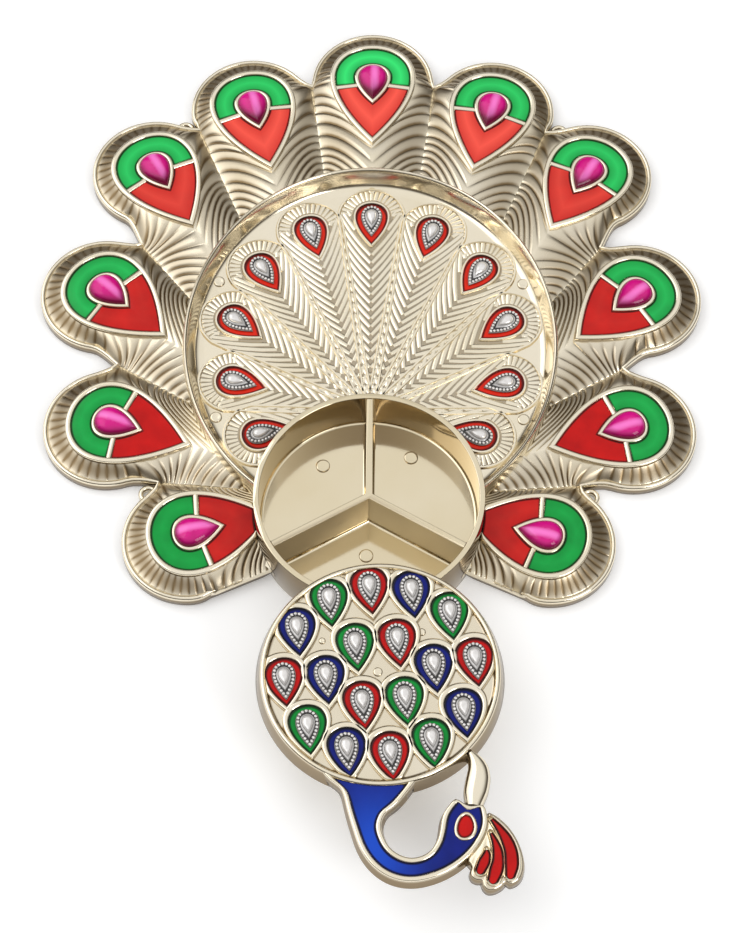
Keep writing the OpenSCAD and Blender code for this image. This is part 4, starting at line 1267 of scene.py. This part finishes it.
# Neck, beak and plumes: stations of x, y from the lid's front edge, and half width. The crest's edge has
# places of x and y only. Sections have distance outwards, height and a painted shade on walls and sides
bird = {"neck": [(-4.6, 4, 10.6), (-5.3, -0.6, 6.5), (-6.8, -4.4, 3.6), (-7.3, -8.7, 2), (-6.7, -12.5, 1.8),
                 (-5.2, -16, 1.7), (-2.5, -18.7, 1.7), (1, -20.1, 1.6), (4.8, -19.9, 1.6), (8.3, -18.5, 2),
                 (11.2, -16.1, 2.8), (13.4, -13, 3.7), (14.9, -9.6, 4), (16, -6.6, 2.7)],
        "beak": [(17.1, -6.6, 1.9), (17.9, -3.65, 2.7), (18.6, -1.6, 2.85), (19.2, 0.5, 2.75),
                 (19.35, 2.4, 2.4), (18.95, 4.2, 1.8), (18.1, 5.9, 1)],
        "plumes": [[(20.6, -10.4, 0.25), (22, -12.8, 0.7), (23.2, -15.5, 1.1), (23.8, -18.4, 1.3),
                    (23.6, -21.4, 1.35), (23, -23.6, 1)],
                   [(20, -13.6, 0.25), (20.6, -15.7, 0.6), (20.9, -17.9, 0.95), (20.7, -20.2, 1.15),
                    (20, -22.3, 1.35), (19.1, -24.2, 1.1)],
                   [(18.5, -17.4, 0.25), (18.4, -18.4, 0.7), (18, -19.4, 1), (17.5, -20.3, 1.15),
                    (16.6, -21.8, 1)]],
        "crest": [(17.2, -15.2), (19.2, -11.4), (20, -8.8), (21, -9), (22.4, -10.2), (24, -12.2), (25.4, -15),
                  (26.2, -18), (26.4, -20.8), (25.8, -23.3), (24.6, -24.9), (22.8, -25.6), (21.8, -25),
                  (20.6, -25.9), (19, -26.5), (17.6, -26.4), (16.8, -25.4), (16.5, -24.1), (15.4, -23.8),
                  (14.5, -23.1), (14.3, -21.9), (14.8, -20.6), (14.2, -18.7)],
        "lowZ": 14.7, "topZ": 18.6, "beakZ": 18.5, "beakRound": 2.4, "beakClear": 27.6, "notch": 1.2,
        "smoothings": 14, "bodyClear": 26.6, "borderInside": (-0.1, 27.3), "borderOutside": (1.2, 26.6),
        "borderRoll": (17.3, 18.62, 16, 0.5, 0.7), "plumeRim": 0.62, "plumeZ": 17.6, "plumeRound": 0.6,
        "body": [(1.55, 14.7, 0.86), (1.75, 14.9, 0.86), (1.3, 17.4, 0.8), (1.1, 17.8, 0.2), (0.6, 17.9, 0)],
        "pool": [(0.05, 17.4, 1), (0.05, 18.1, 1), (-0.1, 18.2, 1), (-0.35, 18.22, 0.75), (-0.65, 18.25, 0)],
        "poolClear": 27.85, "poolCrown": 0.3, "plumePool": (17.5, 18.25, 0.25), "plumePoolRound": 0.05,
        "crestBody": [(0.2, 14.7, 0.86), (0.35, 14.9, 0.86), (0.05, 17.4, 0.78), (-0.15, 17.7, 0.2),
                      (-0.45, 17.85, 0.2)],
        "lightAt": (2, -90), "lightWide": (9, 12), "light": 0.75}


def stationAt(path, u):
    last = len(path) - 1
    i = min(int(u), last - 1)
    four = [path[min(max(j, 0), last)] for j in range(i - 1, i + 3)]
    return smoothPlace(*four, u - i)


# Places along a path with half width and direction
def alongPath(path, steps):
    last = len(path) - 1
    samples = []
    for j in range(last * steps + 1):
        u = j / steps
        a = stationAt(path, max(u - 0.05, 0))
        b = stationAt(path, min(u + 0.05, last))
        size = math.hypot(b[0] - a[0], b[1] - a[1])
        samples.append((*stationAt(path, u), (b[0] - a[0]) / size, (b[1] - a[1]) / size))
    return samples


# A band along a path: its section is a list of half-width share, added width, height and tone
def bandAlong(name, path, section, steps=8, roundStart=0, roundEnd=0, clear=0):
    samples = [(*s, 1) for s in alongPath(path, steps)]
    for extra, atEnd in ((roundEnd, True), (roundStart, False)):
        if not extra:
            continue
        x, y, w, dx, dy, full = samples[-1 if atEnd else 0]
        reach = (w + extra) * (1 if atEnd else -1)
        for i in range(1, 7):
            a = math.pi / 2 * i / 6
            out = reach * math.sin(a)
            cap = (x + dx * out, y + dy * out, w, dx, dy, max(math.cos(a), 0.02))
            samples.insert(len(samples) if atEnd else 0, cap)
    table = []
    tones = []
    for share, extra, z, tone in section:
        side = -1 if share < 0 else 1
        row = []
        for x, y, w, dx, dy, full in samples:
            half = side * max(w * abs(share) + extra * side, 0.02) * full
            px = x - dy * half
            py = y + dx * half - lid["radius"]
            r = math.hypot(px, py)
            if clear and r < clear:
                px *= clear / r
                py *= clear / r
            row.append((*onLid(px, py), z))
            tones.append(tone)
        table.append(row)
    return closedSheet(name, table, tones)


def rimmedSection(rimWide, floorZ):
    low = bird["lowZ"]
    top = bird["topZ"]
    half = [(rimWide - 0.15, low, 0.78), (rimWide, low + 0.15, 0.78), (rimWide, top - 0.75, 0.5),
            (rimWide - 0.12, top - 0.3, 0), (rimWide - 0.4, top - 0.05, 0), (rimWide / 2 - 0.05, top, 0),
            (0.15, top - 0.15, 0), (-0.02, floorZ + 0.1, 0.5), (-0.2, floorZ, 0.5)]
    left = [(1, e, z, t) for e, z, t in half]
    right = [(-1, -e, z, t) for e, z, t in reversed(half)]
    return left + right + [left[0]]


def pooledSection(zLow, zTop, edge):
    half = [(1, 0.05, zLow, 1), (1, 0.05, zTop - 0.1, 1), (1, -0.08, zTop, 1), (1, -edge, zTop + 0.02, 0.7),
            (1, -edge * 1.8, zTop + 0.04, 0)]
    right = [(-s, -e, z, t) for s, e, z, t in reversed(half)]
    return half + [(0, 0, zTop + 0.08, 0)] + right + [half[0]]


def pillowSection(low, top):
    rows = [(1, -0.2, low, 0.78), (1, 0, low + 0.2, 0.78)]
    for i in range(13):
        up = math.sin(math.pi * i / 12) ** 0.75
        tone = (0.7, 0.35, 0.1, 0)[min(i, 12 - i, 3)]
        rows.append((math.cos(math.pi * i / 12), 0, top - bird["beakRound"] + bird["beakRound"] * up, tone))
    rows += [(-1, 0, low + 0.2, 0.78), (-1, 0.2, low, 0.78)]
    return rows + [rows[0]]


def clearOfLid(loop, clear):
    return [(x * max(1, clear / math.hypot(x, y)), y * max(1, clear / math.hypot(x, y))) for x, y in loop]


# The two halves of the neck's outline drawn out by a distance, each from the root to the middle of the head's
# notched end. Places inside the lid's edge move out to it
def neckHalves(grow, clear):
    samples = alongPath(bird["neck"], 8)
    x, y, w, dx, dy = samples[-1]
    halves = []
    for side in (1, -1):
        line = []
        for px, py, half, pdx, pdy in samples:
            line.append((px - pdy * (half + grow) * side, py + pdx * (half + grow) * side))
        for again in range(bird["smoothings"]):
            threes = zip(line, line[1:], line[2:])
            inner = [tuple((a[j] + 2 * b[j] + c[j]) / 4 for j in (0, 1)) for a, b, c in threes]
            line = line[:1] + inner + line[-1:]
        for i in range(1, 7):
            s = 1 - i / 6
            reach = max(grow, 0) * (1 - s ** 4) ** 0.5 - bird["notch"] * (1 - s * s) ** 2
            across = (w + grow) * s * side
            line.append((x - dy * across + dx * reach, y + dx * across + dy * reach))
        line = [(px, py - lid["radius"]) for px, py in line]
        first = next(i for i, p in enumerate(line) if math.hypot(*p) >= clear)
        edge = [c * clear / math.hypot(*line[first]) for c in line[first]]
        halves.append([tuple(edge)] * first + line[first:])
    return halves


def neckLoop(grow, clear):
    inner, outer = neckHalves(grow, clear)
    turns = [math.atan2(p[1], p[0]) for p in (outer[0], inner[0])]
    root = [polar(clear, turns[0] + (turns[1] - turns[0]) * i / 16) for i in range(1, 16)]
    return [onLid(*p) for p in inner + outer[-2::-1] + root]


# A closed band along the neck: rows up one side, across the top and down the other
def neckBand(name, section, clear, crown):
    inner = [(neckHalves(grow, clear)[0], z, tone) for grow, z, tone in section]
    outer = [(neckHalves(grow, clear)[1], z, tone) for grow, z, tone in section]
    top = []
    for share in (0.25, 0.5, 0.75):
        row = [between(a, b, share) for a, b in zip(inner[-1][0], outer[-1][0])]
        top.append((clearOfLid(row, clear), section[-1][1] + crown * share * (1 - share), section[-1][2]))
    rows = inner + top + outer[::-1] + inner[:1]
    table = [[(*onLid(*p), z) for p in line] for line, z, tone in rows]
    return closedSheet(name, table, [tone for line, z, tone in rows for p in line])


# The outline of a cell drawn out by a distance, as far as the lid's rim
def cellOutline(x, y, grow):
    long = lid["cellLong"] + grow * lid["ridgeStretch"]
    places = []
    for px, py in dropOutline(long, lid["cellWide"] + grow, 64, long / 6):
        share = min(1, lid["ridgeReach"] / math.hypot(x + px, y + py))
        places.append(onLid((x + px) * share, (y + py) * share))
    return places


cells = lidCells()
lidPieces = [lathe("lidDisc", lid["section"], *onLid(0, 0), 128)]
for i, (x, y, colour) in enumerate(cells):
    outlines = [cellOutline(x, y, 2 * lid["ridge"]), cellOutline(x, y, -lid["overlap"])]
    lidPieces.append(rollBetween("cellRidge%02d" % i, *outlines, lid["groundZ"] - lid["ridgeSunk"],
                                 lid["ridgeTop"], *lid["ridgeShape"]))
for i, (x, y, radius) in enumerate(lid["marks"]):
    lidPieces.append(pinDisc("lidMark%d" % i, *onLid(x, y), lid["groundZ"], radius))
lidPieces.append(neckBand("neckBody", bird["body"], bird["bodyClear"], 0))
lidPieces.append(rollBetween("neckBorder", neckLoop(*bird["borderOutside"]), neckLoop(*bird["borderInside"]),
                             *bird["borderRoll"]))
lidPieces.append(bandAlong("beak", bird["beak"], pillowSection(bird["lowZ"], bird["beakZ"]),
                           clear=bird["beakClear"]))
crest = [onLid(x, y - lid["radius"]) for x, y in smoothLoop(bird["crest"], 4)]
crestLoops = [(growLoop(crest, grow), z, tone) for grow, z, tone in bird["crestBody"]]
lidPieces.append(stackLoops("crestBody", crestLoops))
for i, path in enumerate(bird["plumes"]):
    lidPieces.append(bandAlong("plume%d" % i, path, rimmedSection(bird["plumeRim"], bird["plumeZ"]),
                               roundStart=bird["plumeRound"], roundEnd=bird["plumeRound"]))


# The eye: a ring and a pool, each with half width, half length and height, and the pool's painted shade
eye = {"at": (14.6, -11.6), "tilt": -16, "uneven": 0.04, "ring": [(2.6, 3.45), (1.75, 2.6)],
       "roll": (17.4, 18.75, 12, 0.5, 0.75),
       "pool": [(2, 2.85, 17.5, 1), (2, 2.85, 18.3, 1), (1.85, 2.7, 18.4, 1), (1.6, 2.45, 18.42, 0.7),
                (1.3, 2.15, 18.44, 0)]}


def eyeRing(wide, long, count=40):
    points = []
    tilt = math.radians(eye["tilt"])
    for i in range(count):
        a = 2 * math.pi * i / count
        uneven = 1 + eye["uneven"] * math.cos(3 * a + 0.8)
        x = wide * math.cos(a) * uneven
        y = long * math.sin(a) * uneven
        px = eye["at"][0] + x * math.cos(tilt) - y * math.sin(tilt)
        py = eye["at"][1] + x * math.sin(tilt) + y * math.cos(tilt) - lid["radius"]
        points.append(onLid(px, py))
    return points


lidPieces.append(rollBetween("eyeRing", *[eyeRing(*size) for size in eye["ring"]], *eye["roll"]))
lidPieces.append(lathe("stud", lid["stud"], 0, -lid["pivot"], 32))
lidPieces.append(lathe("studPad", lid["studPad"], 0, -lid["pivot"], 40))
peacockLid = joinAs("peacockLid", lidPieces)
finishPiece(peacockLid, "lid", "gold_plating", plateGold, "peacock_lid", angle=50)

poolPattern = makeDropPool("lidPool", lid["cellLong"] + lid["overlap"], lid["cellWide"] + lid["overlap"],
                           *lid["poolZ"])
lacquers = {"red": redLacquer, "green": greenLacquer, "blue": blueLacquer}
for colour, material in lacquers.items():
    pools = []
    for i, (x, y, name) in enumerate(cells):
        if name == colour:
            pools.append(copyAt(poolPattern, "lidPool%02d" % i, standing(*onLid(x, y), 0, -lid["turn"])))
    finishPiece(joinAs("lid%sLacquer" % colour.title(), pools), "lid", colour + "_enamel", material,
                "lid_%s_enamel" % colour)
bpy.data.objects.remove(poolPattern)
lidStones = []
for i, (x, y, name) in enumerate(cells):
    middle = onLid(x, y + stone["long"] / 6)
    seat = standing(*middle, lid["poolZ"][1], -lid["turn"])
    lidStones.append(copyAt(stonePattern, "lidStone%02d" % i, seat))
bpy.data.objects.remove(stonePattern)
finishPiece(joinAs("lidStones", lidStones), "lid", "silver_stone", stoneFoil, "lid_stones", angle=60)

neckPool = neckBand("neckBlueLacquer", bird["pool"], bird["poolClear"], bird["poolCrown"])
# A painted highlight on the neck's blue lacquer, strongest round lightAt and fading outwards
neckGlow = []
for v, tone in zip(neckPool.data.vertices, neckPool.data.attributes["tone"].data):
    away = [(v.co[j] / mm - bird["lightAt"][j]) / bird["lightWide"][j] for j in (0, 1)]
    neckGlow.append(0 if tone.value > 0 else bird["light"] * math.exp(-away[0] ** 2 - away[1] ** 2))
setTone(neckPool, neckGlow, "glow")
finishPiece(neckPool, "lid", "blue_enamel", blueLacquer, "neck_enamel")
plumePools = []
for i, path in enumerate(bird["plumes"]):
    plumePools.append(bandAlong("plumePool%d" % i, path, pooledSection(*bird["plumePool"]),
                                roundEnd=bird["plumePoolRound"]))
finishPiece(joinAs("crestRedLacquer", plumePools), "lid", "red_enamel", redLacquer, "crest_enamel")
eyeFill = stackLoops("eyeRedLacquer", [(eyeRing(wide, long), z, tone) for wide, long, z, tone in eye["pool"]])
finishPiece(eyeFill, "lid", "red_enamel", redLacquer, "eye_enamel")
print("lid shaped", len(peacockLid.data.polygons))


# The pivot screw and washer keep their CAD shape
for name in ("pivot_screw", "pivot_washer"):
    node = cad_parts[name]
    node.data.materials.clear()
    node.data.materials.append(screwSteel)


# Stage, light and camera. Lights have place and size in metres, and watts
studio = {"paper": "#F4F4F4", "paperRough": 0.9, "floor": "#FFFFFF", "floorWide": 6,
          "floorAt": (0, 0.04, -0.0002), "glow": 0.2, "horizon": "#5C564E", "zenith": "#FFFFFF",
          "skyFrom": 0.3, "skyTo": 0.85, "skyLevel": 0.95, "aim": (0, 0.03, 0),
          "lights": [("keySoftBox", (-0.75, 0.25, 0.6), 1.2, 5),
                     ("frontSoftBox", (0.55, -0.55, 0.5), 0.4, 2.5)]}


# White paper that is a little lighter where it is seen or mirrored
def makeFloor():
    startFresh()
    bpy.ops.mesh.primitive_plane_add(size=studio["floorWide"], location=studio["floorAt"])
    floor = bpy.context.object
    floor.name = "studioFloor"
    material, tree = newMaterial("matWhitePaper")
    path = addNode(tree, "ShaderNodeLightPath")
    seen = path.outputs["Is Camera Ray"]
    for ray in ("Is Glossy Ray", "Is Transmission Ray"):
        seen = addNode(tree, "ShaderNodeMath", {"operation": "ADD", "use_clamp": True},
                       {0: seen, 1: path.outputs[ray]}).outputs[0]
    level = addNode(tree, "ShaderNodeMath", {"operation": "MULTIPLY", 1: studio["glow"]}, {0: seen})
    coatWith(tree, {"Base Color": hexToLinear(studio["paper"]), "Roughness": studio["paperRough"],
                    "Emission Color": hexToLinear(studio["floor"])}, {"Emission Strength": level.outputs[0]})
    floor.data.materials.append(material)


def makeSky():
    world = bpy.data.worlds.new("studioSky")
    bpy.context.scene.world = world
    world.use_nodes = True
    tree = world.node_tree
    tree.nodes.clear()
    place = addNode(tree, "ShaderNodeTexCoord")
    parts = addNode(tree, "ShaderNodeSeparateXYZ", None, {0: place.outputs["Generated"]})
    height = addNode(tree, "ShaderNodeMapRange", {"From Min": studio["skyFrom"], "From Max": studio["skyTo"],
                                                  "interpolation_type": "SMOOTHSTEP"},
                     {"Value": parts.outputs["Z"]})
    sky = blend(tree, height.outputs["Result"], studio["horizon"], studio["zenith"])
    light = addNode(tree, "ShaderNodeBackground", {"Strength": studio["skyLevel"]}, {"Color": sky})
    addNode(tree, "ShaderNodeOutputWorld", None, {"Surface": light.outputs["Background"]})


def softBox(name, place, size, watts):
    data = bpy.data.lights.new(name, "AREA")
    data.shape = "SQUARE"
    data.size = size
    data.energy = watts
    lamp = bpy.data.objects.new(name, data)
    lamp.location = place
    lamp.rotation_euler = (Vector(studio["aim"]) - Vector(place)).to_track_quat("-Z", "Y").to_euler()
    bpy.context.collection.objects.link(lamp)


camera = {"tilt": 28, "roll": 0.45, "place": (1.39, -271.03, 538.11), "lens": 94.63, "sensor": 36}


def makeCamera():
    tilt = math.radians(camera["tilt"])
    roll = math.radians(camera["roll"])
    forward = Vector((0, math.sin(tilt), -math.cos(tilt)))
    upright = Vector((0, math.cos(tilt), math.sin(tilt)))
    right = math.cos(roll) * Vector((1, 0, 0)) + math.sin(roll) * upright
    up = -math.sin(roll) * Vector((1, 0, 0)) + math.cos(roll) * upright
    data = bpy.data.cameras.new("photoCamera")
    data.lens = camera["lens"]
    data.sensor_width = camera["sensor"]
    data.clip_start = 0.01
    viewer = bpy.data.objects.new("photoCamera", data)
    turn = Matrix((right, up, -forward)).transposed().to_4x4()
    viewer.matrix_world = Matrix.Translation([c * mm for c in camera["place"]]) @ turn
    bpy.context.collection.objects.link(viewer)
    bpy.context.scene.camera = viewer


makeFloor()
makeSky()
for light in studio["lights"]:
    softBox(*light)
makeCamera()
bpy.context.scene.view_settings.view_transform = "Standard"
print("stage set")
